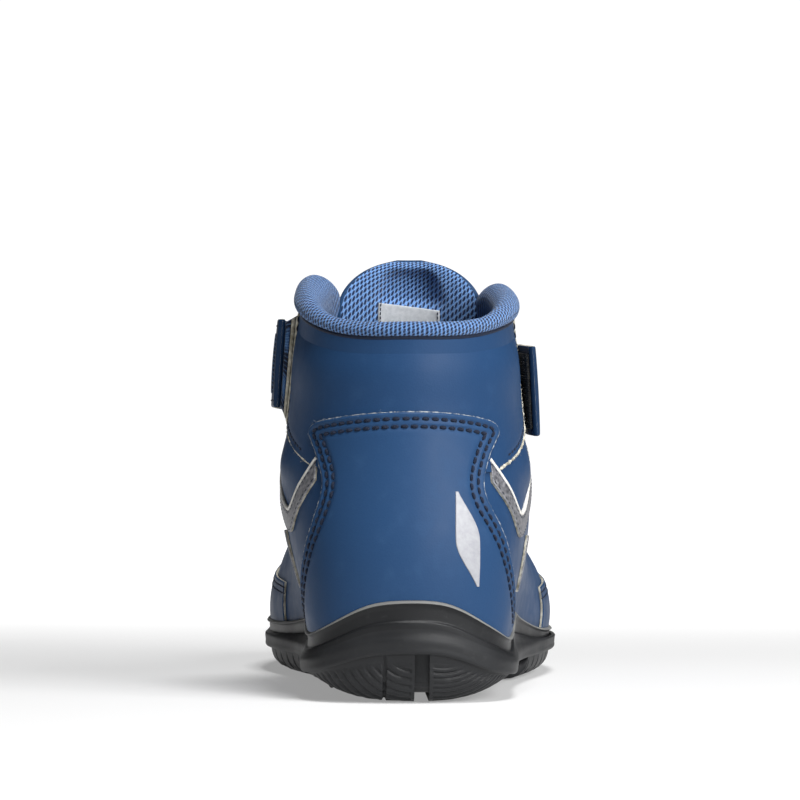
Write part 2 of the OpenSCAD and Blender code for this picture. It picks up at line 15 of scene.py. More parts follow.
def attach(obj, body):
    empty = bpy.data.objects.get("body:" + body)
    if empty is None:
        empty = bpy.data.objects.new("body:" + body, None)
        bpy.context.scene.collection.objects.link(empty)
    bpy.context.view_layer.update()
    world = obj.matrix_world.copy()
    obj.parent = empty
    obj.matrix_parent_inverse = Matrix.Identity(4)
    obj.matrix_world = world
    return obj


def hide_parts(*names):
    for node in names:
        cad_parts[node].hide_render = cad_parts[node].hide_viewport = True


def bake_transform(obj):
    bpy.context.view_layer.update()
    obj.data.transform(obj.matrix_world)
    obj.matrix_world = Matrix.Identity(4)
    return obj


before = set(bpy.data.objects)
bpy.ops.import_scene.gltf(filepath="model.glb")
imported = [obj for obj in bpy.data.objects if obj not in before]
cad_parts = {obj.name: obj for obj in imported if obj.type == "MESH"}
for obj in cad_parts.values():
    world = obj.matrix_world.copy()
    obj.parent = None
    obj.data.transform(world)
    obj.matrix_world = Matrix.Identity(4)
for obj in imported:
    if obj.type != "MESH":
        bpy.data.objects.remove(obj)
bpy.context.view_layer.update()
rng = np.random.default_rng(7)

# ------------------------------------------------------------------ skin
EDGE = [(-2.5, -143), (22, -135.5), (34, -115), (36.5, -82), (40, -42), (48.5, 0),
        (56.2, 45), (52, 90), (31.5, 127), (-8, 143), (-37, 127), (-49.5, 93), (-52, 52),
        (-43.5, 10), (-37, -35), (-38.5, -80), (-38, -115), (-26.5, -135.5)]
BULGE = [32, 30, 27, 27, 27, 26, 24.5, 24, 26, 29, 26, 24.5, 25, 27, 28, 28, 28, 30]
WAVE = [1.1, 1.07, 0.9, 0.76, 0.7, 0.8, 0.97, 1, 0.9, 0.75, 0.6, 0.52, 0.52, 0.56, 0.64,
        0.76, 0.92, 1.08, 1.15, 1.1, 0.98, 0.88, 0.78, 0.7, 0.66, 0.64, 0.67, 0.76, 0.85, 0.9,
        0.9, 0.82, 0.75, 0.79, 0.92, 1.07]
LIP = [17.3, 16.3, 12.4, 10, 9, 9, 9.5, 9.5, 9.5, 9.5, 9.5, 9.5, 9.5, 9.5, 10, 11, 13, 16.5,
       19, 16.5, 13, 11, 10, 9.5, 9.5, 9.5, 9.5, 9.5, 9.5, 9.5, 9.5, 9.5, 9.8, 11, 13.5, 16.5]
WAIST = [(-2.5, -139, 58), (20.5, -131.5, 58), (34, -112, 58), (40, -79, 58),
         (41.5, -48, 56), (41.5, -10, 50), (46, 36, 44), (42.5, 76, 42), (24.5, 108, 43),
         (-6.5, 122, 44), (-31, 110, 44), (-41.5, 80, 44), (-44, 42, 47), (-39.5, -4, 53),
         (-42, -44, 58), (-44.5, -79, 60), (-38.5, -112, 59), (-25.5, -131.5, 58)]
ANKLE = [(-2.5, -131.5, 90), (18.5, -124.5, 90), (32, -107, 90), (38, -80, 92),
         (37, -52, 92), (30, -19, 78), (30, 20, 62), (26.5, 54, 54), (15, 80, 50),
         (-4, 90, 50), (-20, 81, 52), (-28.5, 56, 57), (-32, 22, 66), (-31.5, -16, 81),
         (-40, -50, 94), (-43, -80, 93), (-37, -107, 91), (-23.5, -124.5, 90)]
TOP = [(-2.5, -130, 122), (17.5, -123, 122.5), (31, -106, 126), (34.5, -81, 130.5),
       (29.5, -57, 130), (19, -28, 103), (15.5, 8, 79), (12, 34, 65), (7.5, 50, 58),
       (-1, 56, 57), (-9, 50, 59), (-13, 34, 67), (-16.5, 8, 81), (-20, -28, 105),
       (-33, -57, 133), (-39, -81, 133), (-36, -106, 127), (-22.5, -123, 122.5)]
STRAP_LOW = [(-47.5, -70, 99), (-48.6, -58, 99), (-46.5, -42, 98.5), (-37.5, -22, 97.5),
             (-21, -6, 96.5), (-2, 0, 95.5), (17, -6.5, 94.5), (32, -22, 92.5),
             (40.5, -42, 90.5), (43.5, -58, 89.5), (45.8, -71, 89)]
STRAP_TOP = [(-45.5, -75, 130), (-46, -65, 130), (-42, -55, 129), (-34, -43, 126.5),
             (-19, -34, 123), (-1, -31, 121.5), (16, -34.5, 121.5), (29.5, -45, 122),
             (37, -57, 121.5), (40.3, -68, 121), (42.5, -79, 120.5)]
TONGUE = [(58, 46.5, 12, 5, 3), (46, 51, 16, 7, 3.5), (34, 58.5, 18, 9, 4),
          (20, 67, 20, 11, 4.5), (5, 76.5, 21, 12, 5), (-10, 87, 22, 12, 5),
          (-24, 98, 22, 11, 5), (-37, 108.5, 22, 9.5, 5.5), (-46, 118, 22.6, 9, 6),
          (-48.6, 126, 24, 9.3, 6.5), (-49.6, 134, 24.7, 9.6, 6.5),
          (-49.8, 141.5, 21.5, 7.3, 6), (-49.6, 147.3, 14.5, 3.4, 5), (-49.2, 151, 4.5, 0.4, 2.8)]
TONGUE_X = -1.5
CENTRE = np.array([-2.1, 0, 0])
N = 18                        # stations round the foot
HEEL_FRONT = -46              # y of the heel's front face
TURN = 6.2832              # one turn, in radians
PEEL_FOLD, SWING_FOLD = (7.6, 8.0), (0.85, 1.2)   # along the strap


class Loop:
    """Smooth closed curve through given stations."""

    def __init__(self, pts):
        self.p = np.array(pts, float)
        if self.p.ndim == 1:
            self.p = self.p[:, None]
        n = len(self.p)
        a = 4 * np.eye(n) + np.roll(np.eye(n), 1, 1) + np.roll(np.eye(n), -1, 1)
        self.m = np.linalg.solve(a, 6 * (np.roll(self.p, -1, 0) - 2 * self.p
                                         + np.roll(self.p, 1, 0)))

    def __call__(self, u):
        u = np.asarray(u, float)
        n = len(self.p)
        i = np.floor(u).astype(int)
        t = (u - i)[..., None]
        i, j = i % n, (i + 1) % n
        s = 1 - t
        r = (s * self.p[i] + t * self.p[j] + (s ** 3 - s) * self.m[i] / 6
             + (t ** 3 - t) * self.m[j] / 6)
        return r if r.shape[-1] > 1 else r[..., 0]


class Open:
    """Natural spline through an open list of points, straight beyond its ends."""

    def __init__(self, pts):
        self.p = np.array(pts, float)
        n = len(self.p)
        a = np.eye(n)
        b = np.zeros((n, n))
        for k in range(1, n - 1):
            a[k, k - 1:k + 2] = 1, 4, 1
            b[k, k - 1:k + 2] = 6, -12, 6
        self.w = np.linalg.solve(a, b)
        self.m = self.w @ self.p

    def __call__(self, t):
        t = np.asarray(t, float)
        n = len(self.p)
        i = np.clip(np.floor(t).astype(int), 0, n - 2)
        f = (t - i)[..., None]
        c = np.clip(f, 0, 1)
        s = 1 - c
        p, q, m, k = self.p[i], self.p[i + 1], self.m[i], self.m[i + 1]
        r = s * p + c * q + (s ** 3 - s) * m / 6 + (c ** 3 - c) * k / 6
        slope = q - p + (1 - 3 * s * s) * m / 6 + (3 * c * c - 1) * k / 6
        return r + (f - c) * slope


edge_loop, lip_ring, wave_ring = Loop(EDGE), Loop(LIP), Loop(WAVE)


def lip_loop(u):
    return lip_ring(2 * np.asarray(u, float))


def wave(u):
    return wave_ring(2 * np.asarray(u, float))


def inset(u, k):
    t = edge_loop(np.asarray(u) + 0.02) - edge_loop(np.asarray(u) - 0.02)
    t /= np.linalg.norm(t, axis=-1, keepdims=True)
    k = np.asarray(k, float)[..., None]
    return edge_loop(u) - k * np.stack([t[..., 1], -t[..., 0]], -1)


def smooth(a, b, x):
    t = np.clip((np.asarray(x, float) - a) / (b - a), 0, 1)
    return t * t * (3 - 2 * t)


def rocker(y):
    return 3 * np.maximum(0, (-y - 126) / 17) ** 2 + 11 * np.maximum(0, (y - 88) / 55) ** 2


def crown(p):
    """The heel's underside is rounded across as well."""
    return 2.9 * (np.abs(p[..., 0] + 1) / 24) ** 2.5 * smooth(20, -50, p[..., 1])


def base_z(y):
    return 6 + 9 * np.maximum(0, (y - 88) / 55) ** 2


def floor_z(y):
    return base_z(y) + 5 - 2.5 * smooth(-40, 30, y)


K = np.arange(float(N))
P5 = inset(K, 5.5)
P3 = inset(K, 2.8)
LOOPS = [Loop(np.c_[P5, floor_z(P5[:, 1]) + 0.3]), Loop(np.c_[P3, BULGE]),
         Loop(WAIST), Loop(ANKLE), Loop(TOP)]
VBASE = Open(np.eye(5))


def skin0(u, v):
    u, v = np.broadcast_arrays(np.asarray(u, float), np.asarray(v, float))
    w = VBASE(v)
    return sum(w[..., k:k + 1] * LOOPS[k](u) for k in range(5))


def unit(a):
    return a / np.maximum(np.linalg.norm(a, axis=-1, keepdims=True), 1e-12)


def skin_n(u, v, h=0.02):
    u, v = np.asarray(u, float), np.asarray(v, float)
    return unit(np.cross(skin0(u + h, v) - skin0(u - h, v), skin0(u, v + h) - skin0(u, v - h)))


def skin(u, v, d=0.0):
    return skin0(u, v) + np.asarray(d, float)[..., None] * skin_n(u, v)


def curve(keys, x):
    """Smooth monotone curve through (position, value) keys."""
    k = np.array(keys, float)
    xs, ys = k[:, 0], k[:, 1]
    if len(xs) == 2:
        return np.interp(x, xs, ys)
    h, d = np.diff(xs), np.diff(ys) / np.diff(xs)
    m = np.zeros(len(xs))
    for i in range(1, len(xs) - 1):
        if d[i - 1] * d[i] > 0:
            w1, w2 = 2 * h[i] + h[i - 1], h[i] + 2 * h[i - 1]
            m[i] = (w1 + w2) / (w1 / d[i - 1] + w2 / d[i])
    m[0], m[-1] = d[0], d[-1]
    x = np.clip(x, xs[0], xs[-1])
    i = np.clip(np.searchsorted(xs, x) - 1, 0, len(h) - 1)
    t = (x - xs[i]) / h[i]
    return ((2 * t ** 3 - 3 * t ** 2 + 1) * ys[i] + (t ** 3 - 2 * t ** 2 + t) * h[i] * m[i]
            + (-2 * t ** 3 + 3 * t ** 2) * ys[i + 1] + (t ** 3 - t ** 2) * h[i] * m[i + 1])


# ------------------------------------------------------------- materials
def lin(r, g, b):
    f = lambda c: c / 12.92 if c <= 0.04045 else ((c + 0.055) / 1.055) ** 2.4
    return (f(r / 255), f(g / 255), f(b / 255), 1)


class Mat:
    """Small wrapper for building a node material."""

    def __init__(self, name, color, rough=0.6, **socket):
        self.m = bpy.data.materials.new(name)
        self.m.use_nodes = True
        self.t = self.m.node_tree
        self.b = self.t.nodes["Principled BSDF"]
        self.b.inputs["Base Color"].default_value = color
        self.b.inputs["Roughness"].default_value = rough
        for k, v in socket.items():
            self.b.inputs[k.replace("_", " ")].default_value = v
        self.normal = None

    def node(self, kind, inputs=None, **props):
        n = self.t.nodes.new("ShaderNode" + kind)
        for k, v in props.items():
            setattr(n, k, v)
        for k, v in (inputs or {}).items():
            if isinstance(v, bpy.types.NodeSocket):
                self.t.links.new(v, n.inputs[k])
            else:
                n.inputs[k].default_value = v
        return n

    def uv(self, sx=1.0, sy=1.0, rot=0.0):
        n = self.node("UVMap", uv_map="mm")
        return self.node("Mapping", {"Vector": n.outputs[0], "Scale": (sx, sy, 1),
                                     "Rotation": (0, 0, rot)}).outputs[0]

    def pos(self):
        return self.node("TexCoord").outputs["Object"]

    def noise(self, scale, detail=4, vec=None, rough=0.55, dist=0.0):
        return self.node("TexNoise", {"Vector": vec or self.pos(), "Scale": scale,
                                      "Detail": detail, "Roughness": rough,
                                      "Distortion": dist}).outputs["Fac"]

    def voronoi(self, scale, vec=None, feature="F1", out="Distance", rnd=1.0):
        return self.node("TexVoronoi", {"Vector": vec or self.pos(), "Scale": scale,
                                        "Randomness": rnd}, feature=feature).outputs[out]

    def math(self, op, a, b=0.0, c=0.0):
        return self.node("Math", {0: a, 1: b, 2: c}, operation=op).outputs[0]

    def ramp(self, fac, lo, hi, a=0.0, b=1.0):
        return self.node("MapRange", {"Value": fac, "From Min": lo, "From Max": hi,
                                      "To Min": a, "To Max": b}).outputs[0]

    def mix(self, fac, a, b, blend="MIX"):
        n = self.node("Mix", data_type="RGBA", blend_type=blend)
        for i, v in ((0, fac), (6, a), (7, b)):
            if isinstance(v, bpy.types.NodeSocket):
                self.t.links.new(v, n.inputs[i])
            else:
                n.inputs[i].default_value = v
        return n.outputs[2]

    def bump(self, height, strength, dist):
        inputs = {"Height": height, "Strength": strength, "Distance": dist}
        if self.normal is not None:
            inputs["Normal"] = self.normal
        self.normal = self.node("Bump", inputs).outputs[0]
        self.t.links.new(self.normal, self.b.inputs["Normal"])
        return self

    def color(self, socket):
        self.t.links.new(socket, self.b.inputs["Base Color"])
        return self

    def rough(self, socket):
        self.t.links.new(socket, self.b.inputs["Roughness"])
        return self


def leather(name, base, light, dark, grain=1.0, rough=0.45):
    """Coated synthetic leather: fine pebble, faint creases, worn sheen."""
    m = Mat(name, base, rough, Specular_IOR_Level=0.12)
    big = m.noise(9, 2)
    mid = m.noise(140, 5)
    cell = m.voronoi(1500, feature="F1")
    c = m.mix(m.ramp(big, 0.3, 0.7, 0.0, 0.3), base, dark)
    c = m.mix(m.ramp(mid, 0.55, 0.8, 0, 0.18), c, light)
    c = m.mix(m.ramp(cell, 0.0, 0.5, 0.3, 0.0), c, dark)
    m.color(c)
    m.rough(m.ramp(mid, 0.3, 0.75, rough - 0.04, rough + 0.09))
    m.bump(cell, 0.2 * grain, 0.0001)
    m.bump(mid, 0.06 * grain, 0.0003)
    m.bump(m.noise(3200, 2), 0.12 * grain, 0.00004)
    crease = m.node("Mapping", {"Vector": m.pos(), "Scale": (0.35, 0.35, 1.6)}).outputs[0]
    m.bump(m.noise(120, 3, crease, dist=0.6), 0.07 * grain, 0.0006)
    return m.m


def knit(name, base, light, dark, px=1.45, py=2.3, slant=0.3, rough=0.85):
    """Open warp knit: staggered slanted slots between twisted ribs, in millimetre UVs; the slots and
    the yarn edges round them are painted dark as shade.
    """
    m = Mat(name, base, rough, Sheen_Weight=0.2, Sheen_Roughness=0.5, Specular_IOR_Level=0.2)
    wob = m.noise(260, 2)
    s = m.node("SeparateXYZ", {0: m.uv(1 / px, 1 / py)})
    x = m.math("ADD", s.outputs[0], m.math("MULTIPLY", wob, 0.35))
    y = m.math("ADD", s.outputs[1], m.math("MULTIPLY", wob, 0.25))
    col = m.math("FLOOR", x)
    odd = m.math("MULTIPLY", m.math("MODULO", m.math("ABSOLUTE", col), 2.0), 0.5)
    fx = m.math("SUBTRACT", m.math("FRACT", x), 0.5)
    fy = m.math("SUBTRACT", m.math("FRACT", m.math("ADD", y, odd)), 0.5)
    gx = m.math("DIVIDE", m.math("SUBTRACT", fx, m.math("MULTIPLY", fy, slant)), 0.29)
    gy = m.math("DIVIDE", fy, 0.46)
    r = m.math("SQRT", m.math("ADD", m.math("MULTIPLY", gx, gx), m.math("MULTIPLY", gy, gy)))
    yarn_and_slot_shade = m.ramp(r, 0.7, 1.35)
    ply = m.math("SINE", m.math("MULTIPLY", m.math("ADD", m.math("MULTIPLY", x, 1.4), y), 12.56))
    fine = m.noise(2400, 4)
    c = m.mix(m.ramp(ply, -1, 1), base, light)
    c = m.mix(m.ramp(fine, 0.35, 0.75, 0.0, 0.6), c, base)
    # painted shade: the slots and the yarn edges round them are mixed to the dark colour
    c = m.mix(yarn_and_slot_shade, dark, c)
    m.color(c)
    m.bump(yarn_and_slot_shade, 0.9, 0.0005)
    m.bump(ply, 0.3, 0.00012)
    m.bump(fine, 0.3, 0.0001)
    return m.m


def cloth(name, base, light, pitch=0.7, rough=0.85, sheen=0.3):
    m = Mat(name, base, rough, Sheen_Weight=sheen, Sheen_Roughness=0.5, Specular_IOR_Level=0.25)
    v = m.uv(1 / pitch, 1 / pitch)
    s = m.node("SeparateXYZ", {0: v})
    a = m.math("SINE", m.math("MULTIPLY", s.outputs[0], TURN))
    b = m.math("SINE", m.math("MULTIPLY", s.outputs[1], TURN))
    w = m.math("MULTIPLY", a, b)
    n = m.noise(900, 4)
    c = m.mix(m.ramp(w, -1, 1), base, light)
    c = m.mix(m.ramp(n, 0.3, 0.7, 0, 0.4), c, base)
    m.color(c)
    m.bump(w, 0.5, 0.0002)
    m.bump(n, 0.2, 0.0002)
    return m.m


def rubber(name, base, light, rough=0.55):
    m = Mat(name, base, rough, Specular_IOR_Level=0.26)
    big, fine = m.noise(40, 4), m.noise(1400, 4)
    dust = m.noise(260, 6, dist=0.4)
    c = m.mix(m.ramp(big, 0.3, 0.7), base, light)
    c = m.mix(m.ramp(dust, 0.6, 0.85, 0, 0.14), c, lin(96, 96, 96))
    m.color(c)
    m.rough(m.ramp(big, 0.3, 0.7, rough - 0.06, rough + 0.1))
    m.bump(fine, 0.25, 0.00012)
    m.bump(m.noise(380, 3), 0.08, 0.0003)
    return m.m


M_LEATHER = leather("leather_blue", lin(34, 63, 99), lin(54, 86, 125), lin(27, 52, 85))
M_CAP = leather("leather_heel_cap", lin(38, 67, 103), lin(58, 91, 130), lin(31, 57, 91), 0.8, 0.44)
M_VAMP = leather("leather_overlay", lin(32, 60, 94), lin(53, 85, 124), lin(25, 49, 80))
M_DARK = leather("leather_strap", lin(26, 50, 80), lin(46, 74, 108), lin(19, 38, 62))
# the third colour of each knit below is the painted shade in its slots
M_KNIT = knit("knit_collar", lin(64, 106, 166), lin(126, 166, 216), lin(12, 28, 60), 1.4, 1.95)
M_TONGUE = knit("knit_tongue", lin(74, 120, 184), lin(138, 178, 228), lin(16, 36, 72),
                1.6, 2.45, 0.5)
M_STRAP = knit("knit_strap", lin(44, 76, 118), lin(88, 124, 168), lin(10, 22, 44), 1.3, 1.8)
M_LINING = cloth("lining_knit", lin(40, 70, 110), lin(78, 112, 154), 0.9)
M_LACE = cloth("lace_braid", lin(24, 42, 70), lin(64, 92, 130), 0.8)
M_SOLE = rubber("rubber_wall", lin(24, 25, 27), lin(31, 32, 34), 0.45)
M_TREAD = rubber("rubber_tread", lin(30, 31, 33), lin(39, 40, 42), 0.5)
# painted highlight: a light grey rubber for the top rim of the wall, standing in for the light that
# the edge catches
M_RIM_HIGHLIGHT = rubber("rubber_rim_painted_highlight", lin(96, 97, 98), lin(128, 128, 124), 0.5)
M_STITCH = cloth("thread_blue", lin(9, 19, 38), lin(20, 34, 60), 0.5, 0.6, 0.04)
M_FOAM = Mat("foam", lin(196, 190, 172), 0.9)
M_FOAM.bump(M_FOAM.voronoi(900), 0.4, 0.0004)
M_FOAM.color(M_FOAM.mix(M_FOAM.noise(300, 3), lin(176, 168, 150), lin(206, 200, 184)))
M_FOAM = M_FOAM.m


def fibre(name, base, rough, scale, span, dark, light, fine, strength):
    m = Mat(name, base, rough)
    m.color(m.mix(m.ramp(m.noise(scale, 5), *span), dark, light))
    m.bump(m.noise(fine, 3), strength, 0.0002)
    return m.m


def silver():
    m = Mat("silver_trim", lin(122, 122, 128), 0.46, Metallic=0.55)
    v = m.uv(1 / 0.9, 1 / 0.9)
    s = m.node("SeparateXYZ", {0: v})
    w = m.math("MULTIPLY", m.math("SINE", m.math("MULTIPLY", s.outputs[0], TURN)),
               m.math("SINE", m.math("MULTIPLY", s.outputs[1], TURN)))
    n, c = m.noise(700, 5), m.voronoi(1300)
    m.color(m.mix(m.ramp(n, 0.35, 0.7), lin(92, 93, 100), lin(158, 158, 162)))
    m.rough(m.ramp(n, 0.3, 0.7, 0.34, 0.58))
    m.bump(w, 0.25, 0.0002)
    m.bump(c, 0.35, 0.0002)
    return m.m


def piping():
    m = Mat("piping_white", lin(214, 212, 206), 0.5)
    n = m.noise(900, 4)
    m.color(m.mix(m.ramp(n, 0.4, 0.75), lin(222, 220, 214), lin(176, 174, 168)))
    m.bump(n, 0.3, 0.0001)
    return m.m


def patch_mat():
    m = Mat("patch_print", lin(156, 157, 162), 0.42)
    n, c = m.noise(500, 5), m.voronoi(1500)
    m.color(m.mix(m.ramp(n, 0.35, 0.75), lin(148, 149, 155), lin(164, 165, 169)))
    m.bump(c, 0.2, 0.0001)
    m.bump(n, 0.15, 0.0002)
    return m.m


def hook():
    m = Mat("hook_tape", lin(40, 40, 38), 0.8)
    v = m.uv(1 / 0.95, 1 / 0.95)
    d = m.voronoi(1.0, v, rnd=0.25)
    n = m.noise(1800, 3)
    m.color(m.mix(m.ramp(d, 0.15, 0.5), lin(74, 73, 70), lin(24, 24, 23)))
    m.bump(d, 1.0, 0.0006)
    m.bump(n, 0.4, 0.0002)
    return m.m


def fuzz():
    m = Mat("loop_pile", lin(34, 36, 40), 0.95, Sheen_Weight=0.6, Sheen_Roughness=0.6)
    n, k = m.noise(1500, 6, dist=1.2), m.noise(500, 4, dist=2.0)
    m.color(m.mix(m.ramp(n, 0.35, 0.7), lin(22, 24, 28), lin(66, 70, 78)))
    m.bump(n, 1.0, 0.0006)
    m.bump(k, 0.5, 0.0006)
    return m.m


def label_mat():
    m = Mat("label_woven", lin(168, 172, 178), 0.6, Sheen_Weight=0.3)
    v = m.uv(1 / 0.32, 1 / 0.32)
    s = m.node("SeparateXYZ", {0: v})
    w = m.math("SINE", m.math("MULTIPLY", m.math("ADD", s.outputs[0], s.outputs[1]), TURN))
    n = m.noise(700, 4)
    m.color(m.mix(m.ramp(n, 0.3, 0.75), lin(170, 175, 181), lin(198, 201, 205)))
    m.bump(w, 0.5, 0.0001)
    return m.m


def metal():
    m = Mat("eyelet_metal", lin(70, 74, 82), 0.35, Metallic=0.9)
    n = m.noise(800, 5)
    m.rough(m.ramp(n, 0.3, 0.7, 0.25, 0.5))
    m.color(m.mix(n, lin(58, 62, 70), lin(96, 100, 108)))
    m.bump(n, 0.1, 0.0001)
    return m.m


M_RAW = fibre("raw_edge", lin(176, 172, 156), 0.85, 420, (0.35, 0.65), lin(128, 124, 108),
              lin(206, 202, 188), 2400, 0.7)
M_FRAY = fibre("frayed_fibre", lin(120, 128, 138), 0.9, 600, (0.4, 0.62), lin(44, 68, 98),
               lin(162, 166, 168), 2600, 0.6)
M_SILVER, M_PIPE, M_PATCH = silver(), piping(), patch_mat()
M_HOOK, M_PILE, M_LABEL, M_METAL = hook(), fuzz(), label_mat(), metal()


# ---------------------------------------------------------------- meshes
def mesh(name, verts, faces, mats, index=None, uvs=None, body="boot", slot=None,
         replaces=(), flat=False):
    """verts in mm; faces as a list of tuples; uvs per vertex in mm."""
    me = bpy.data.meshes.new(name)
    me.from_pydata(((np.asarray(verts, float) + CENTRE) / 1000).tolist(), [],
                   [tuple(map(int, f)) for f in faces])
    for k in (mats if isinstance(mats, (list, tuple)) else [mats]):
        me.materials.append(k)
    if index is not None:
        me.polygons.foreach_set("material_index", np.asarray(index, np.int32))
    if uvs is not None:
        layer = me.uv_layers.new(name="mm")
        loop = np.empty(len(me.loops), np.int32)
        me.loops.foreach_get("vertex_index", loop)
        layer.data.foreach_set("uv", np.asarray(uvs, np.float32)[loop].ravel())
    if not flat:
        me.polygons.foreach_set("use_smooth", np.ones(len(me.polygons), bool))
    me.update()
    o = bpy.data.objects.new(name, me)
    bpy.context.scene.collection.objects.link(o)
    if body:
        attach(o, body)
    if replaces:
        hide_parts(*replaces)
    return o


def grid_faces(nr, nc, off=0, flip=False, wrap=False):
    r, c = np.meshgrid(np.arange(nr - 1), np.arange(nc if wrap else nc - 1), indexing="ij")
    k = r * nc + c + off
    k1 = r * nc + (c + 1) % nc + off
    f = np.stack([k, k1, k1 + nc, k + nc], -1).reshape(-1, 4)
    return f[:, ::-1] if flip else f


def border(nr, nc):
    """Indices round the edge of a grid."""
    return np.r_[np.arange(nc), np.arange(1, nr) * nc + nc - 1,
                 (nr - 1) * nc + np.arange(nc - 2, -1, -1), np.arange(nr - 2, 0, -1) * nc]


def two_sheets(nr, nc):
    """Faces of a slab: two grids and the walls round them; then the number of walls."""
    m, rim = nr * nc, border(nr, nc)
    q = len(rim)
    faces = [tuple(f) for f in grid_faces(nr, nc, 0, True)]
    faces += [tuple(f) for f in grid_faces(nr, nc, m)]
    faces += [(rim[i], rim[(i + 1) % q], m + rim[(i + 1) % q], m + rim[i]) for i in range(q)]
    return faces, q


def lid(nc, off, flip):
    """Flat strip of faces closing a ring of nc points."""
    out, h = [], nc // 2
    for i in range(h):
        a, b, c, d = i, i + 1, nc - i - 1, (nc - i) % nc
        if i < h - 1:
            out.append((a, b, c))
        if i > 0:
            out.append((a, c, d))
    return [tuple(off + k for k in (f[::-1] if flip else f)) for f in out]


def end_caps(n, k):
    """The two end faces of a tube of n rings of k points."""
    return [tuple(range(k)), tuple((n - 1) * k + i for i in range(k - 1, -1, -1))]


def tree(pts):
    t = KDTree(len(pts))
    for i, p in enumerate(pts):
        t.insert(Vector(p), i)
    t.balance()
    return t


def arc(p):
    """Running length along the last-but-one axis of points."""
    d = np.linalg.norm(np.diff(p, axis=-2), axis=-1)
    return np.concatenate([np.zeros(d.shape[:-1] + (1,)), np.cumsum(d, -1)], -1)


def knots(width, cell, e):
    """Parameters 0..1 with extra rows close to both borders for a rounded edge."""
    n = max(3, int(width / cell))
    s = np.linspace(0, 1, n + 1)
    extra = np.array([0.25, 0.6, 1.0, 1.7]) * e / width
    s = np.concatenate([s, extra, 1 - extra])
    s = np.unique(np.round(s[(s >= 0) & (s <= 1)], 5))
    keep = [s[0]]
    for v in s[1:]:
        if v - keep[-1] > 0.12 * e / width:
            keep.append(v)
    keep[-1] = 1.0
    return np.array(keep)


class Press:
    """Grooves pressed into a panel along lines of points on it."""

    def __init__(self):
        self.lines = []

    def add(self, paths, depth, width):
        """paths are (u, v) lines; a negative depth raises a ridge."""
        for q in paths:
            self.lines.append((tree(skin(q[:, 0], q[:, 1])), depth, width))
        return self

    def __call__(self, p):
        out = np.zeros(len(p))
        for t, depth, width in self.lines:
            d = np.array([t.find(Vector(q))[2] for q in p])
            out -= depth * np.exp(-(d / width) ** 2)
        return out


def panel(name, f, d1, d0=0.0, cell=1.3, e=0.5, mat=None, edge_mat=None, press=None,
          relief=None, open_sides=(), **kw):
    """Closed panel on the skin. f(s, t) gives (u, v); s runs along u, t up v.
    d1 is the outer face, d0 the inner one, e the radius of the cut edges."""
    gs, gt = np.meshgrid(np.linspace(0, 1, 24), np.linspace(0, 1, 24), indexing="xy")
    p = skin(*f(gs, gt))
    ws = np.linalg.norm(np.diff(p, axis=1), axis=-1).sum(1)
    wt = np.linalg.norm(np.diff(p, axis=0), axis=-1).sum(0)
    s, t = knots(ws.mean(), cell, e), knots(wt.mean(), cell, e)
    S, T = np.meshgrid(s, t, indexing="xy")
    U, V = f(S, T)
    lw = np.interp(T, np.linspace(0, 1, 24), ws)
    lh = np.interp(S, np.linspace(0, 1, 24), wt)
    near = np.full(S.shape, 99.0)
    for side, dist in (("l", S * lw), ("r", (1 - S) * lw), ("b", T * lh), ("t", (1 - T) * lh)):
        if side not in open_sides:
            near = np.minimum(near, dist)
    q = np.clip(1 - near / e, 0, 1)
    d = d1 - e * (1 - np.sqrt(1 - q * q)) * 0.85
    base = skin(U, V)
    if press is not None:
        w = smooth(0, 1.2, near)
        d = d + press(base.reshape(-1, 3)).reshape(S.shape) * w
    if relief is not None:
        d = d + relief(U, V, near)
    outer = skin(U, V, d)
    nr, nc = S.shape
    inner = skin(U, V, np.full(S.shape, float(d0)))
    m = nr * nc
    rim = border(nr, nc)
    verts = np.concatenate([outer.reshape(-1, 3), inner.reshape(-1, 3),
                            outer.reshape(-1, 3)[rim], inner.reshape(-1, 3)[rim]])
    k = len(rim)
    a = np.arange(k)
    wall = np.stack([2 * m + k + a, 2 * m + k + (a + 1) % k, 2 * m + (a + 1) % k, 2 * m + a], -1)
    faces = np.concatenate([grid_faces(nr, nc), grid_faces(nr, nc, m, True), wall])
    idx = np.concatenate([np.zeros(2 * (nr - 1) * (nc - 1), int), np.ones(k, int)])
    x, y = arc(base), arc(base.transpose(1, 0, 2)).T
    uv = np.stack([x - x.mean(), y], -1).reshape(-1, 2)
    uvs = np.concatenate([uv, uv, uv[rim], uv[rim]])
    return mesh(name, verts, faces, [mat, edge_mat or mat], idx, uvs, **kw)


def rows_f(left, right, v0, v1, bend=None):
    def f(s, t):
        v = v0 + (v1 - v0) * t
        a, b = curve(left, v), curve(right, v)
        u = a + (b - a) * s
        return (u, v) if bend is None else (u, bend(u, v))
    return f


def cols_f(low, high, u0, u1):
    def f(s, t):
        u = u0 + (u1 - u0) * s
        a = low(u) if callable(low) else curve(low, u)
        b = high(u) if callable(high) else curve(high, u)
        return u, a + (b - a) * t
    return f


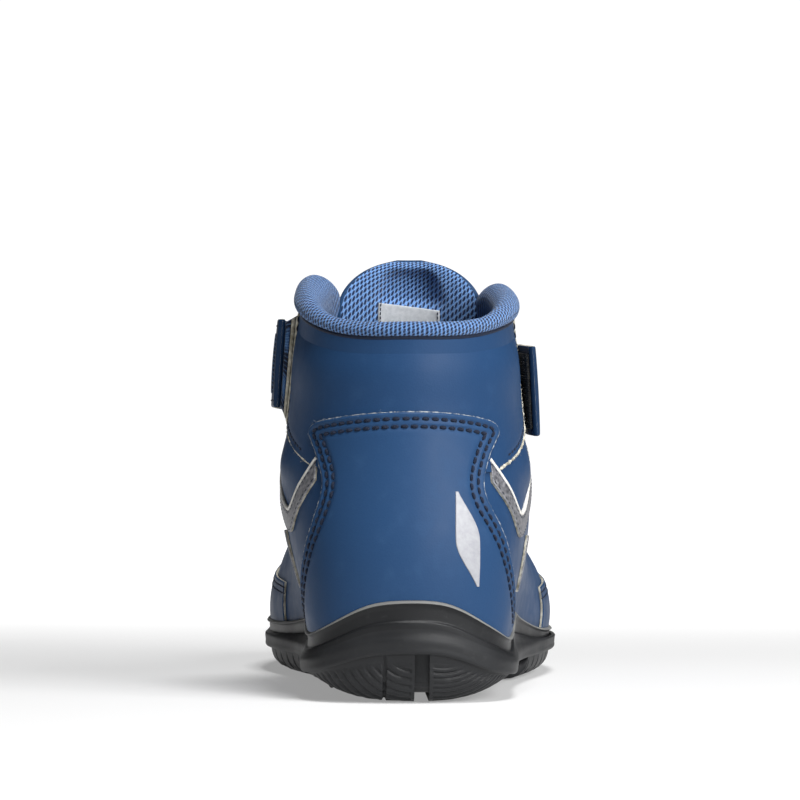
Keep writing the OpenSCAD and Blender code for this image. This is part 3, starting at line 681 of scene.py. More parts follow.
def move_in(uv, dist, left=True):
    """Shifts a (u, v) path sideways on the skin by dist mm."""
    uv = np.asarray(uv, float)
    p = skin(uv[:, 0], uv[:, 1])
    tan = unit(np.gradient(p, axis=0))
    n = skin_n(uv[:, 0], uv[:, 1])
    side = np.cross(n, tan) * (dist if left else -dist)
    h = 0.01
    su = (skin0(uv[:, 0] + h, uv[:, 1]) - skin0(uv[:, 0] - h, uv[:, 1])) / (2 * h)
    sv = (skin0(uv[:, 0], uv[:, 1] + h) - skin0(uv[:, 0], uv[:, 1] - h)) / (2 * h)
    a, b, c = (su * su).sum(-1), (su * sv).sum(-1), (sv * sv).sum(-1)
    x, y = (su * side).sum(-1), (sv * side).sum(-1)
    det = a * c - b * b
    return uv + np.stack([(c * x - b * y) / det, (a * y - b * x) / det], -1)


def resample(p, pitch):
    p = np.asarray(p, float)
    L = arc(p)
    n = max(2, int(round(L[-1] / pitch)))
    x = np.linspace(0, L[-1], n + 1)
    return np.stack([np.interp(x, L, p[:, k]) for k in range(p.shape[1])], -1)


def capsules(name, centres, dirs, normals, length, r, mat, squash=0.75, **kw):
    """Many small sewn stitches as one mesh."""
    rings = [(-0.5, 0.35, -0.55), (-0.36, 0.85, -0.1), (-0.12, 1, 0.1), (0.12, 1, 0.1),
             (0.36, 0.85, -0.1), (0.5, 0.35, -0.55)]
    k = 6
    n = unit(normals)
    d = unit(dirs - (dirs * n).sum(-1, keepdims=True) * n)
    b = np.cross(n, d)
    verts, faces = [], []
    ang = np.arange(k) * 2 * np.pi / k
    for i in range(len(centres)):
        o = len(verts)
        for x, s, z in rings:
            for a in ang:
                verts.append(centres[i] + d[i] * x * length + b[i] * r * s * math.cos(a)
                             + n[i] * (r * z + r * squash * s * math.sin(a)))
        for j in range(len(rings) - 1):
            for a in range(k):
                faces.append((o + j * k + a, o + j * k + (a + 1) % k,
                              o + (j + 1) * k + (a + 1) % k, o + (j + 1) * k + a))
        faces.append(tuple(o + a for a in range(k - 1, -1, -1)))
        faces.append(tuple(o + (len(rings) - 1) * k + a for a in range(k)))
    verts = np.array(verts)
    return mesh(name, verts, faces, mat, uvs=verts[:, [0, 2]], **kw)


def sew(name, paths, d, mat=None, pitch=3.0, length=2.3, r=0.36, **kw):
    """Stitches along (u, v) paths at height d above the skin."""
    C, D, Nn = [], [], []
    for uv in paths:
        uv = np.asarray(uv, float)
        dense = skin(uv[:, 0], uv[:, 1])
        L = arc(dense)
        n = max(1, int(L[-1] / pitch))
        x = (np.arange(n) + 0.5) * L[-1] / n
        u, v = np.interp(x, L, uv[:, 0]), np.interp(x, L, uv[:, 1])
        c = skin(u, v, np.full(len(u), d))
        g = np.stack([np.interp(x + 0.6, L, dense[:, k]) - np.interp(x - 0.6, L, dense[:, k])
                      for k in range(3)], -1)
        C.append(c), D.append(g), Nn.append(skin_n(u, v))
    return capsules(name, np.concatenate(C), np.concatenate(D), np.concatenate(Nn), length, r,
                    mat or M_STITCH, slot=kw.pop("slot", "blue_leather"), **kw)


def tube(name, p, ra, rb=None, normals=None, mat=None, k=10, taper=None, **kw):
    """Sweep of an ellipse along points p; ra across, rb along the normals."""
    p = np.asarray(p, float)
    rb = ra if rb is None else rb
    t = unit(np.gradient(p, axis=0))
    if normals is None:
        normals = np.tile([0.0, 0.0, 1.0], (len(p), 1))
        normals[np.abs(t[:, 2]) > 0.9] = (0, 1, 0)
    n = unit(normals - (normals * t).sum(-1, keepdims=True) * t)
    b = np.cross(t, n)
    a = np.arange(k) * 2 * np.pi / k
    w = np.ones(len(p)) if taper is None else taper
    ring = (p[:, None] + b[:, None] * (ra * np.cos(a))[None, :, None] * w[:, None, None]
            + n[:, None] * (rb * np.sin(a))[None, :, None] * w[:, None, None])
    verts = ring.reshape(-1, 3)
    faces = [tuple(f) for f in grid_faces(len(p), k, flip=True, wrap=True)] + end_caps(len(p), k)
    uvs = np.stack([np.repeat(arc(p), k), np.tile(a * ra, len(p))], -1)
    return mesh(name, verts, faces, mat, uvs=uvs, **kw)


def line(keys, n=60, along_u=True):
    """Smooth (u, v) path from (position, value) keys."""
    k = np.array(keys, float)
    x = np.linspace(k[0, 0], k[-1, 0], n)
    y = curve(keys, x)
    return np.stack([x, y] if along_u else [y, x], -1)


# ------------------------------------------------------------------ sole
UR = np.arange(420) * N / 420


def wall_points(u):
    """Key points of the rubber wall from its top edge down to the lip."""
    w = wave(u)
    lip = lip_loop(u)
    at = lambda k, dz: np.c_[inset(u, np.full(len(u), k)), lip + dz]
    d = lambda v: np.full(len(u), v)
    return [skin(u, w, d(2.0)), skin(u, w * 0.62, d(2.6)), at(0, 4), at(0.3, 1), at(1, 0)]


def sole_wall():
    u = UR
    P = np.stack(wall_points(u), 0)
    n = len(P)
    a = np.eye(n)
    b = np.zeros((n, n))
    for k in range(1, n - 1):
        a[k, k - 1:k + 2] = 1, 4, 1
        b[k, k - 1:k + 2] = 6, -12, 6
    Q = np.einsum("ij,jkl->ikl", np.linalg.solve(a, b), P)
    dense = []
    for t in np.linspace(0, n - 1, 161):
        i = min(n - 2, int(t))
        f = t - i
        g = 1 - f
        dense.append(g * P[i] + f * P[i + 1] + (g ** 3 - g) * Q[i] / 6 + (f ** 3 - f) * Q[i + 1] / 6)
    dense = np.array(dense)
    L = np.concatenate([np.zeros((1, len(u))),
                        np.cumsum(np.linalg.norm(np.diff(dense, axis=0), axis=-1), 0)])
    total = L[-1]
    high = np.array([0, .25, .5, .8, 1.2, 1.8, 2.6, 3.6, 4.6, 5.4, 6, 6.3, 6.6, 6.9, 7.2, 7.6, 8.2])
    k = np.minimum(1, total / 17)
    low = np.r_[np.linspace(0.1, 0.82, 12), 0.87, 0.91, 0.94, 0.965, 0.985, 1]
    dist = np.concatenate([high[:, None] * k, 8.2 * k + low[:, None] * (total - 8.2 * k)])
    rows = np.empty((len(dist), len(u), 3))
    for c in range(len(u)):
        for x in range(3):
            rows[:, c, x] = np.interp(dist[:, c], L[:, c], dense[:, c, x])
    nrm = unit(np.cross(np.roll(rows, -1, 1) - np.roll(rows, 1, 1), -np.gradient(rows, axis=0)))
    top, end = dist / k, total - dist
    relief = 0.5 * np.exp(-((top - 0.5) / 0.55) ** 2) - 0.3 * smooth(0.9, 1.8, top) \
        + 0.75 * smooth(6.2, 7.0, top) - 0.35 * smooth(8, 11, top) \
        + 0.7 * np.exp(-(end / 1.3) ** 2)
    rows = rows + nrm * relief[..., None]
    d = lambda v: np.full(len(u), v)
    w = wave(u)
    rim = [skin(u, w + 0.012, d(1.9)), skin(u, w + 0.02, d(1.1)), skin(u, w + 0.01, d(0.15))]
    inner = [skin(u, w * 0.5, d(0.15)), skin(u, 0 * u, d(0.15)),
             np.c_[inset(u, d(6.2)), floor_z(inset(u, d(6.2))[:, 1])]]
    z = lambda k, dz: np.c_[inset(u, d(k)), base_z(inset(u, d(k))[:, 1]) + dz]
    lip = np.c_[inset(u, d(1.7)), lip_loop(u) - 0.25]
    lip2 = np.c_[inset(u, d(2.6)), lip_loop(u) + 0.1]
    allr = np.array(inner[::-1] + rim[::-1] + list(rows) + [lip, lip2, z(4.5, 1.2), z(12, 0)])
    nr, nc = allr.shape[:2]
    verts = allr.reshape(-1, 3)
    faces = [tuple(f) for f in grid_faces(nr, nc, wrap=True)[:, ::-1]]
    idx = np.zeros((nr - 1, nc), int)
    idx[6 + 17:] = 1
    # the faces round the top rim take the light rubber, a painted highlight
    idx[3:8] = 2

    lids = lid(nc, 0, False) + lid(nc, (nr - 1) * nc, True)
    idx = np.r_[idx.ravel(), np.ones(len(lids), int)]
    x = arc(allr[20])
    y = np.cumsum(np.r_[0, np.linalg.norm(np.diff(allr[:, 0], axis=0), axis=-1)])
    uvs = np.stack([np.tile(x, nr), np.repeat(y, nc)], -1)
    mesh("outsole_cup_rubber", verts, faces + lids, [M_SOLE, M_TREAD, M_RIM_HIGHLIGHT], idx, uvs,
         slot="rubber_sole", replaces=("outsole_cup",))
    # floor of the channel between the heel treads
    prof = np.array([(HEEL_FRONT, 2.7), (HEEL_FRONT, 6.6), (-131, 6.6), (-137.8, 7.6), (-137.4, 5.6),
                     (-134.5, 3.9), (-129, 3.1)], float)
    xs = (-0.78, 4.18)
    pts = [(x, y, z) for x in xs for y, z in prof]
    m = len(prof)
    mesh("outsole_cup_channel", pts, [tuple(range(m - 1, -1, -1)), tuple(range(m, 2 * m))]
         + [(i, (i + 1) % m, m + (i + 1) % m, m + i) for i in range(m)], M_SOLE,
         uvs=np.array(pts)[:, 1:], slot="rubber_sole", flat=True)


sole_wall()

HK = np.array([1.0, 2.0, 2.15, 2.5, 3.2, 4.2, 5.6, 7.5, 9.5, 12.0])
HG = np.array([1.0, 0.97, 0.85, 0.65, 0.46, 0.32, 0.19, 0.09, 0.03, 0.0])


def under(u, k, g):
    p = inset(u, k)
    z = (1 - g) * (rocker(p[..., 1]) + crown(p)) + g * lip_loop(u)
    return np.concatenate([p, z[..., None]], -1)


def ribs(p, side):
    """Fine moulded ribs: arcs about a point above each half of the heel."""
    cx, cz, pitch = (10.0, 29.0, 1.95) if side > 0 else (-0.5, 22.0, 2.9)
    r = np.sqrt((p[..., 0] - cx) ** 2 + (p[..., 2] - cz) ** 2 + (p[..., 1] + 143) ** 2)
    s = 0.5 + 0.5 * np.cos(2 * np.pi * r / pitch)
    return -0.6 * s ** 2.5


def heel_half(side):
    gx = 1.7 + side * 2.5
    u0, u1 = (0.24, 3.93) if side > 0 else (14.2, 18.08)
    u = np.linspace(u0, u1, 340)
    kk = np.concatenate([np.linspace(1.0, 2.0, 4), np.linspace(2.1, 3.4, 26),
                         np.linspace(3.6, 12, 40)])
    U, KK = np.meshgrid(u, kk)
    bottom = under(U, KK, np.interp(KK, HK, HG))
    f = (u - u0) / (u1 - u0)
    f = f if side > 0 else 1 - f
    end = np.stack([np.full(len(u), gx), -130 + f * 84, np.zeros(len(u))], -1)
    fill = np.linspace(0, 1, 56)[1:, None, None]
    low0 = bottom[-1]
    mid = low0 * (1 - fill) + end * fill
    mid[..., 2] = crown(mid) * (1 - fill[..., 0] ** 4) \
        + (low0[..., 2] - crown(low0)) * (1 - fill[..., 0])
    bottom = np.concatenate([bottom, mid])
    clamp = lambda q: np.stack([np.maximum(q[..., 0], gx) if side > 0 else np.minimum(q[..., 0], gx),
                                np.minimum(q[..., 1], HEEL_FRONT), q[..., 2]], -1)
    bottom = clamp(bottom)
    if side < 0:
        x, y = bottom[..., 0], bottom[..., 1]
        corner = smooth(-84, -66, y) * smooth(-24, -29, x)
        bottom[..., 2] -= crown(bottom) * corner * smooth(6, 4, bottom[..., 2])
    gr = np.gradient(bottom, axis=0)
    gc = np.gradient(bottom, axis=1)
    area_ = np.cross(gr, gc)
    n = unit(area_)
    x, y = bottom[..., 0], bottom[..., 1]
    inner = smooth(0.9, 1.5, np.abs(x - gx)) \
        * smooth(2.2, 2.6, np.r_[kk, np.full(55, 12.0)])[:, None]
    h = ribs(bottom, side) * inner
    cut = np.hypot(x - 1.7, y - HEEL_FRONT)
    for r0 in (26, 38, 50, 62, 74):
        h -= 1.8 * np.exp(-((cut - r0) / 0.8) ** 4) * smooth(4, 1.5, bottom[..., 2])
    if side < 0:
        slot_ = np.exp(-(((y + 113) + 0.7 * (x + 30)) / 1.7) ** 4) * smooth(-23, -27, x)
        slot2 = np.exp(-(((y + 92) + 0.7 * (x + 30)) / 1.4) ** 4) * smooth(-25, -29, x)
        h -= 3.6 * slot_ + 2.4 * slot2 + 1.0 * np.exp(-((x + 11) / 0.55) ** 4) * smooth(-60, -80, y)
    ok = np.linalg.norm(area_, axis=-1) > 1e-5
    low = bottom + n * (h * ok)[..., None]
    low[..., 2] = np.maximum(low[..., 2], 0.0)
    top = clamp(np.concatenate([
        np.c_[inset(u, 1.0 + 0 * u), lip_loop(u) + 0.3][None],
        np.c_[inset(u, 4.5 + 0 * u), base_z(inset(u, 4.5 + 0 * u)[:, 1]) + 1.2][None],
        np.c_[inset(u, 12.0 + 0 * u), base_z(inset(u, 12.0 + 0 * u)[:, 1])][None],
        (end + [0, 0, 6])[None]]))
    nr, nc = bottom.shape[:2]
    verts = np.concatenate([low.reshape(-1, 3), top.reshape(-1, 3)])
    o = nr * nc
    faces = [tuple(q) for q in grid_faces(nr, nc, 0, True)]
    faces += [tuple(q) for q in grid_faces(4, nc, o)]
    for c, fl in ((0, False), (nc - 1, True)):
        a = [r * nc + c for r in range(nr)]
        b = [o + r * nc + c for r in range(3, -1, -1)]
        faces.append(tuple(a + b if fl else (a + b)[::-1]))
    a = [(nr - 1) * nc + c for c in range(nc)]
    b = [o + 3 * nc + c for c in range(nc)]
    faces += [(a[i], a[i + 1], b[i + 1], b[i]) for i in range(nc - 1)]
    faces += [(i, o + i, o + i + 1, i + 1) for i in range(nc - 1)]
    name = "heel_tread_" + ("lateral" if side > 0 else "medial")
    ob = mesh(name + "_ribbed", verts, faces, M_TREAD, uvs=verts[:, :2], slot="rubber_sole",
              replaces=(name,))
    ob.data.polygons.foreach_set("use_smooth", np.array([len(q) == 4 for q in faces]))


heel_half(1)
heel_half(-1)


def forefoot():
    """Forefoot tread: blocks parted by wavy sipes, rolled up at the toe."""
    xs = np.linspace(0, 1, 150)
    ys = np.linspace(-12, 141.6, 240)
    # half widths by station: intersect the outline with each y
    uu = np.linspace(3.5, 14.5, 3000)
    e = inset(uu, 1.0 + 0 * uu)
    toe = np.argmax(e[:, 1])
    xr = np.interp(ys, e[:toe, 1], e[:toe, 0])
    xl = np.interp(ys, e[toe:, 1][::-1], e[toe:, 0][::-1])
    lr = np.interp(ys, e[:toe, 1], lip_loop(uu[:toe]))
    ll = np.interp(ys, e[toe:, 1][::-1], lip_loop(uu[toe:])[::-1])
    s = 0.5 - 0.5 * np.cos(np.pi * xs)
    X = xl[:, None] + (xr - xl)[:, None] * s
    Y = np.repeat(ys[:, None], len(xs), 1)
    side = np.minimum(X - xl[:, None], xr[:, None] - X)
    side = np.minimum(side, np.maximum(0, 141.9 - Y))
    lip = ll[:, None] + (lr - ll)[:, None] * s
    k = 1 + side
    g = np.interp(k, HK, HG)
    Z = (1 - g) * rocker(Y) + g * lip
    r = np.hypot(X, Y - 38)
    wav = r + 1.6 * np.sin(np.arctan2(Y - 38, X) * 9)
    cut = np.zeros_like(Z)
    for r0 in (10, 22, 34, 46, 58, 70, 82, 94):
        cut += np.exp(-((wav - r0) / 0.9) ** 4)
    pr = 0.5 + 0.5 * np.cos(2 * np.pi * wav / 3.0)
    lug = np.exp(-((np.mod(Y + 0.6 * np.abs(X), 11) - 5.5) / 0.9) ** 4) * smooth(11, 8, side)
    depth = (2.0 * np.clip(cut, 0, 1) + 0.4 * pr ** 3) * smooth(1.5, 6, side) \
        + 1.8 * lug * smooth(0.8, 2, side)
    Z = np.maximum(Z + depth, 0.0)
    Zt = base_z(Y) + 1.2 * smooth(11, 3.5, side)
    Zt = np.where(side < 3.5, lip + (Zt - lip) * np.clip(side / 3.5, 0, 1), Zt)
    Z = np.minimum(Z, Zt - 0.02)
    nr, nc = X.shape
    low, top = np.stack([X, Y, Z], -1), np.stack([X, Y, Zt], -1)
    faces = two_sheets(nr, nc)[0]
    verts = np.concatenate([low.reshape(-1, 3), top.reshape(-1, 3)])
    mesh("forefoot_tread_ribbed", verts, faces, M_TREAD, uvs=verts[:, :2], slot="rubber_sole",
         replaces=("forefoot_tread",))


forefoot()

# ----------------------------------------------------------- base panels
Q_FRONT = [(0, 6), (2, 6.6), (3, 7.3), (4, 8.3)]
CHEV_LOW = [(1.35, 2.5), (1.8, 2.2), (2.25, 1.9), (2.8, 2.14), (3.5, 2.5), (4.2, 2.82)]
CHEV_TOP = [(1.35, 2.72), (1.8, 2.42), (2.25, 2.12), (2.8, 2.36), (3.5, 2.7), (4.2, 2.94)]


def swap(e):
    return [(a, N - b) for a, b in e]


def mirror(e):
    return [(N - a, b) for a, b in e[::-1]]


def drawn_in(U, V):
    """The leather behind the ankle curves in to the seam under the roll."""
    side = np.abs((U + 9) % 18 - 9)
    return 1.6 * smooth(3.62, 4.03, V) ** 1.3 * smooth(3.3, 2.7, side)


def puff(U, V, near):
    """Padded pillow between the collar seam and the V trim, both sides."""
    out = np.zeros_like(U)
    for c, amp in ((2.75, 1.9), (15.3, 2.1)):
        out += amp * np.exp(-((U - c) / 0.62) ** 2 - ((V - 2.62) / 0.26) ** 2)
    return out - drawn_in(U, V)


def shell(name, f, mat, slot, rep, **kw):
    return panel(name, f, -0.1, -1.4, mat=mat, edge_mat=M_RAW, slot=slot, replaces=rep,
                 relief=puff, cell=1.6, **kw)


shell("quarter_lateral_leather", rows_f([(0, 0.012), (4, 0.012)], Q_FRONT, 0.14, 3.99),
      M_LEATHER, "blue_leather", ("quarter_lateral",), open_sides=("l", "b"))
shell("quarter_medial_leather", rows_f(swap(Q_FRONT), [(0, 17.988), (4, 17.988)], 0.14, 3.99),
      M_LEATHER, "blue_leather", ("quarter_medial",), open_sides=("r", "b"))
shell("vamp_leather", rows_f([(a, b + 0.04) for a, b in Q_FRONT],
                             [(a, b - 0.04) for a, b in swap(Q_FRONT)], 0.14, 3.99),
      M_LEATHER, "blue_leather", ("vamp",), open_sides=("b",))

# --------------------------------------------------------------- heel cap
CAP_L = [(1.13, -2.75), (1.6, -2.1), (2, -1.62), (2.45, -1.38), (2.8, -1.56), (3.02, -1.74),
         (3.14, -1.83), (3.2, -1.78), (3.235, -1.6)]
CAP_R = [(1.13, 2.65), (1.6, 1.95), (2, 1.47), (2.45, 1.14), (2.8, 1.3), (3.02, 1.5),
         (3.14, 1.6), (3.2, 1.56), (3.235, 1.4)]


def cap_bend(u, v):
    """The lower edge follows the wave of the rubber and the top edge is arched."""
    return v + (wave(u) - 1.11) * np.maximum(0, (1.9 - v) / 0.77) \
        - 0.05 * u * u * np.maximum(0, (v - 2.45) / 0.8)


cap_f = rows_f(CAP_L, CAP_R, 1.13, 3.235, cap_bend)
cap_t = np.linspace(0.04, 1, 90)
cap_left = np.stack(cap_f(0 * cap_t, cap_t), -1)
cap_right = np.stack(cap_f(0 * cap_t + 1, cap_t), -1)
cap_s = np.linspace(0, 1, 60)
cap_top = np.stack(cap_f(cap_s, 0 * cap_s + 1), -1)
cap_outline = np.concatenate([cap_right, cap_top[::-1], cap_left[::-1]])


def clean(uv, dist, left=True):
    """Inset path with the loops at tight corners removed."""
    q = move_in(resample_uv(uv, 0.8), dist, left)
    p = skin(q[:, 0], q[:, 1])
    src = skin(*resample_uv(uv, 0.8).T)
    t = tree(src)
    keep = [i for i, s in enumerate(p) if t.find(Vector(s))[2] > dist * 0.93]
    return q[keep]


def resample_uv(uv, pitch):
    uv = np.asarray(uv, float)
    L = arc(skin(uv[:, 0], uv[:, 1]))
    x = np.linspace(0, L[-1], max(3, int(L[-1] / pitch)))
    return np.stack([np.interp(x, L, uv[:, 0]), np.interp(x, L, uv[:, 1])], -1)


row_a, row_b = clean(cap_outline, 2.3), clean(cap_outline, 5.0)
press = Press().add((row_a, row_b), 0.65, 0.9)
press.add([clean(cap_outline, w) for w in (0.9, 3.65)], -0.38, 0.8)
panel("heel_cap_leather", cap_f, 1.45, 0.1, mat=M_CAP, edge_mat=M_RAW, press=press, cell=1.0,
      e=0.45, open_sides=("b",), slot="blue_leather", replaces=("heel_cap",))
sew("heel_cap_stitches", [row_a, row_b], 1.2, pitch=3.2, length=2.6, r=0.64)


def raw_line(name, uv, d, r=0.26, mat=None, fray=0, **kw):
    """Frayed cut edge: an uneven fibre bead with a few loose threads."""
    uv = resample_uv(uv, 0.5)
    p = skin(uv[:, 0], uv[:, 1], np.full(len(uv), float(d)))
    n = skin_n(uv[:, 0], uv[:, 1])
    p = p + rng.normal(0, 0.07, (len(p), 1)) * n
    kw.setdefault("slot", "blue_leather")
    tube(name, p, r, mat=mat or M_RAW, k=6, normals=n,
         taper=1 + 0.35 * np.clip(rng.normal(0, 1, len(p)), -1.4, 1.8), **kw)
    V, F = [], []
    for i in rng.integers(4, len(p) - 4, fray):
        t = unit(p[i + 2] - p[i - 2])
        b = np.cross(n[i], t)
        q = p[i].copy()
        w = unit(t * rng.normal(0, 1) + b * rng.normal(0, 0.9) + n[i] * rng.uniform(.2, .7))
        o = len(V)
        for k in range(5):
            c = 0.055 * (1 - 0.16 * k)
            V += [q + c * b, q - c * b * 0.5 + c * n[i], q - c * b * 0.5 - c * n[i]]
            q = q + w * 0.42
            w = unit(w + rng.normal(0, 0.35, 3))
        for k in range(4):
            e = o + 3 * k
            F += [(e + j, e + (j + 1) % 3, e + 3 + (j + 1) % 3, e + 3 + j) for j in range(3)]
        F += [(o + 2, o + 1, o), (o + 12, o + 13, o + 14)]
    if V:
        V = np.array(V)
        mesh(name + "_threads", V, F, mat or M_RAW, uvs=V[:, [0, 2]], slot=kw["slot"])


raw_line("heel_cap_raw_edge", cap_outline, 1.2, 0.2, M_FRAY, fray=46)

# ------------------------------------------------------------ collar back
CO_LOW = [(-3.1, 3.0), (-2.6, 2.86), (-2.05, 2.72), (-1.6, 2.64), (0, 2.64), (1.35, 2.6),
          (1.75, 2.68), (2.4, 2.82), (3.1, 3.0)]
co_f = cols_f(CO_LOW, lambda u: 4.02 + 0 * u, -3.1, 3.1)
co_s = np.linspace(0, 1, 120)
co_low = np.stack(co_f(co_s, 0 * co_s), -1)
co_l = np.stack(co_f(0 * co_s, co_s), -1)
co_r = np.stack(co_f(0 * co_s + 1, co_s), -1)
co_rows = [clean(co_l, 2.2, False), clean(co_r, 2.2, True),
           clean(co_low[co_low[:, 0] > 1.9], 2.2), clean(co_low[co_low[:, 0] < -2.1], 2.2)]


def co_roll(U, V, near):
    """Fuller below the roll, then drawn in to the seam."""
    return 0.5 * np.exp(-((V - 3.55) / 0.22) ** 2) - drawn_in(U, V)


panel("collar_panel_leather", co_f, 0.75, 0.0, mat=M_LEATHER, edge_mat=M_LEATHER, relief=co_roll,
      press=Press().add(co_rows, 0.25, 0.7), cell=1.2, e=0.4, open_sides=("t",),
      slot="blue_leather", replaces=("collar_panel",))
sew("collar_panel_stitches", co_rows, 0.62, r=0.4)
for k, (q, r) in enumerate(((co_l, 0.34), (co_r, 0.4), (co_low[co_low[:, 0] > 1.5], 0.5),
                            (co_low[co_low[:, 0] < -1.7], 0.28))):
    raw_line("collar_panel_raw_edge_%d" % k, q[:-2] if k < 2 else q, 0.62, r, fray=8)


# padded roll along the top line
def roll():
    """Padded collar roll: crowned outside, sloping down the inside to the lining."""
    us = np.linspace(-4.2, 4.2, 340)
    n = skin_n(us, 0 * us + 3.97)
    t = unit(skin0(us, 0 * us + 4) - skin0(us, 0 * us + 3.9))
    s = np.minimum(1, 0.45 + 2 * (4.2 - np.abs(us))) * (0.6 + 0.4 * smooth(1.3, 2.8, np.abs(us)))
    tip = np.sqrt(np.clip((4.26 - np.abs(us)) / 0.3, 0.02, 1))
    s = s * tip
    c = skin(us, 0 * us + 4, 0 * us - 1.9) + 0.2 * t
    k = 48
    a = np.arange(k) * 2 * np.pi / k
    ca, sa = np.cos(a), np.sin(a)
    ra = 4.4 * (1 + 0.05 * np.cos(2 * a))
    pin = 1 - 0.16 * np.exp(-((a - 5.35) / 0.22) ** 2)
    tail = np.exp(-((a - 4.0) / 0.62) ** 2)
    lump = 1 + (0.012 * np.sin(us * 9.0) + 0.02 * np.sin(us * 3.1 + 1))[:, None] * np.ones(k)
    lean = np.where(us < 0, 2.4, 1.2) * smooth(2.2, 3.2, np.abs(us)) * tip
    ring = (c[:, None] + (5 * s)[:, None, None] * (1 + sa * pin)[None, :, None] * t[:, None]
            + (ra * ca * pin)[None, :, None] * (s[:, None] * lump)[..., None] * n[:, None]
            - (tail[None, :] * (8.5 * tip)[:, None])[..., None] * t[:, None]
            - (tail[None, :] * (1.6 * tip)[:, None])[..., None] * n[:, None]
            - (np.clip(-ca, 0, 1)[None, :] * lean[:, None])[..., None] * n[:, None])
    faces = [tuple(f) for f in grid_faces(len(us), k, flip=True, wrap=True)] + end_caps(len(us), k)
    L = arc(c)
    uv = np.stack([np.repeat(L, k), np.tile(a * 4.7, len(us))], -1)
    o = mesh("collar_roll_knit", ring.reshape(-1, 3), faces, M_KNIT, uvs=uv, slot="knit_mesh",
             replaces=("collar_roll",))


roll()
uu = np.linspace(-4.1, 4.1, 200)
tube("collar_seam_cord", skin(uu, 0 * uu + 4.02, 0 * uu - 0.45), 0.7, mat=M_STITCH, k=8,
     normals=skin_n(uu, 0 * uu + 4), slot="blue_leather", body="boot")

# linings
panel("lining_heel_knit", cols_f([(-4.6, 0.16), (4.6, 0.16)],
                                 [(-4.6, 3.6), (-4.3, 4.0), (4.3, 4.0), (4.6, 3.6)], -4.6, 4.6),
      -4.2, -5.0, mat=M_LINING, cell=2.0, slot="lining", replaces=("lining_heel",))
panel("lining_front_knit", cols_f([(4.65, 0.16), (13.35, 0.16)],
                                  [(4.65, 3.55), (8, 3.5), (9, 3.85), (10, 3.5), (13.35, 3.55)],
                                  4.65, 13.35),
      -4.2, -5.0, mat=M_LINING, cell=2.0, slot="lining", replaces=("lining_front",))

# ------------------------------------------------------- toe and eyestays
MUD_TOP = [(5.4, 1.35), (6.4, 1.6), (7.6, 2.1), (9, 2.5), (10.4, 2.1), (11.6, 1.6), (12.6, 1.35)]
mud_f = cols_f(lambda u: wave(u) + 0.02, MUD_TOP, 5.4, 12.6)
mud_edge = line(MUD_TOP, 160)
mud_rows = [clean(mud_edge, 2.0, False), clean(mud_edge, 4.4, False)]
panel("mudguard_leather", mud_f, 1.15, 0.0, mat=M_VAMP, edge_mat=M_RAW,
      press=Press().add(mud_rows, 0.25, 0.7), cell=1.4, e=0.45, open_sides=("b",),
      slot="blue_leather", replaces=("mudguard",))
sew("mudguard_stitches", mud_rows, 1.02)

STAY_LOW = [(4.75, 3.5), (7, 3.45), (8.3, 3.5)]
for side, nm in ((1, "lateral"), (-1, "medial")):
    low = STAY_LOW if side > 0 else mirror(STAY_LOW)
    a, b = low[0][0], low[-1][0]
    top = [(a, 3.985), (b, 3.985)]
    el = line(low, 120)
    et = line(top, 120)
    rows = [clean(el, 1.8), clean(et, 1.8, False)]
    panel("eyestay_%s_leather" % nm, cols_f(low, top, a, b), 1.2, 0.0, mat=M_VAMP,
          edge_mat=M_RAW, press=Press().add(rows, 0.22, 0.7), cell=1.0,
          slot="blue_leather", replaces=("eyestay_" + nm,))
    sew("eyestay_%s_stitches" % nm, rows, 1.05)

EYE_U = 5 + 3 * np.arange(7) / 6
EYE_V = 3.8


def ring_mesh(name, frames, r0, r1, h, mat, **kw):
    """Rolled eyelet rings: frames are (centre, normal) pairs."""
    prof = [(r0 - 0.15, -0.6), (r0, 0.2), (r0 + 0.25, 0.62), ((r0 + r1) / 2, 0.8), (r1 - 0.3, 0.62),
            (r1, 0.15), (r1, -0.05)]
    k = 28
    verts, faces = [], []
    for c, n in frames:
        a = np.cross(n, [0, 1, 0.3])
        a /= np.linalg.norm(a)
        b = np.cross(n, a)
        o = len(verts)
        for r, z in prof:
            for i in range(k):
                t = 2 * math.pi * i / k
                verts.append(c + r * (math.cos(t) * a + math.sin(t) * b) + n * z * h)
        for j in range(len(prof) - 1):
            for i in range(k):
                faces.append((o + j * k + i, o + j * k + (i + 1) % k,
                              o + (j + 1) * k + (i + 1) % k, o + (j + 1) * k + i))
    verts = np.array(verts)
    return mesh(name, verts, faces, mat, uvs=verts[:, :2], **kw)


eu = np.concatenate([EYE_U, N - EYE_U])
ring_mesh("eyelet_rings",
          list(zip(skin(eu, 0 * eu + EYE_V, 0 * eu + 1.2), skin_n(eu, 0 * eu + EYE_V))),
          1.7, 3.1, 1.0, M_METAL, slot="eyelet", replaces=("eyelets",))


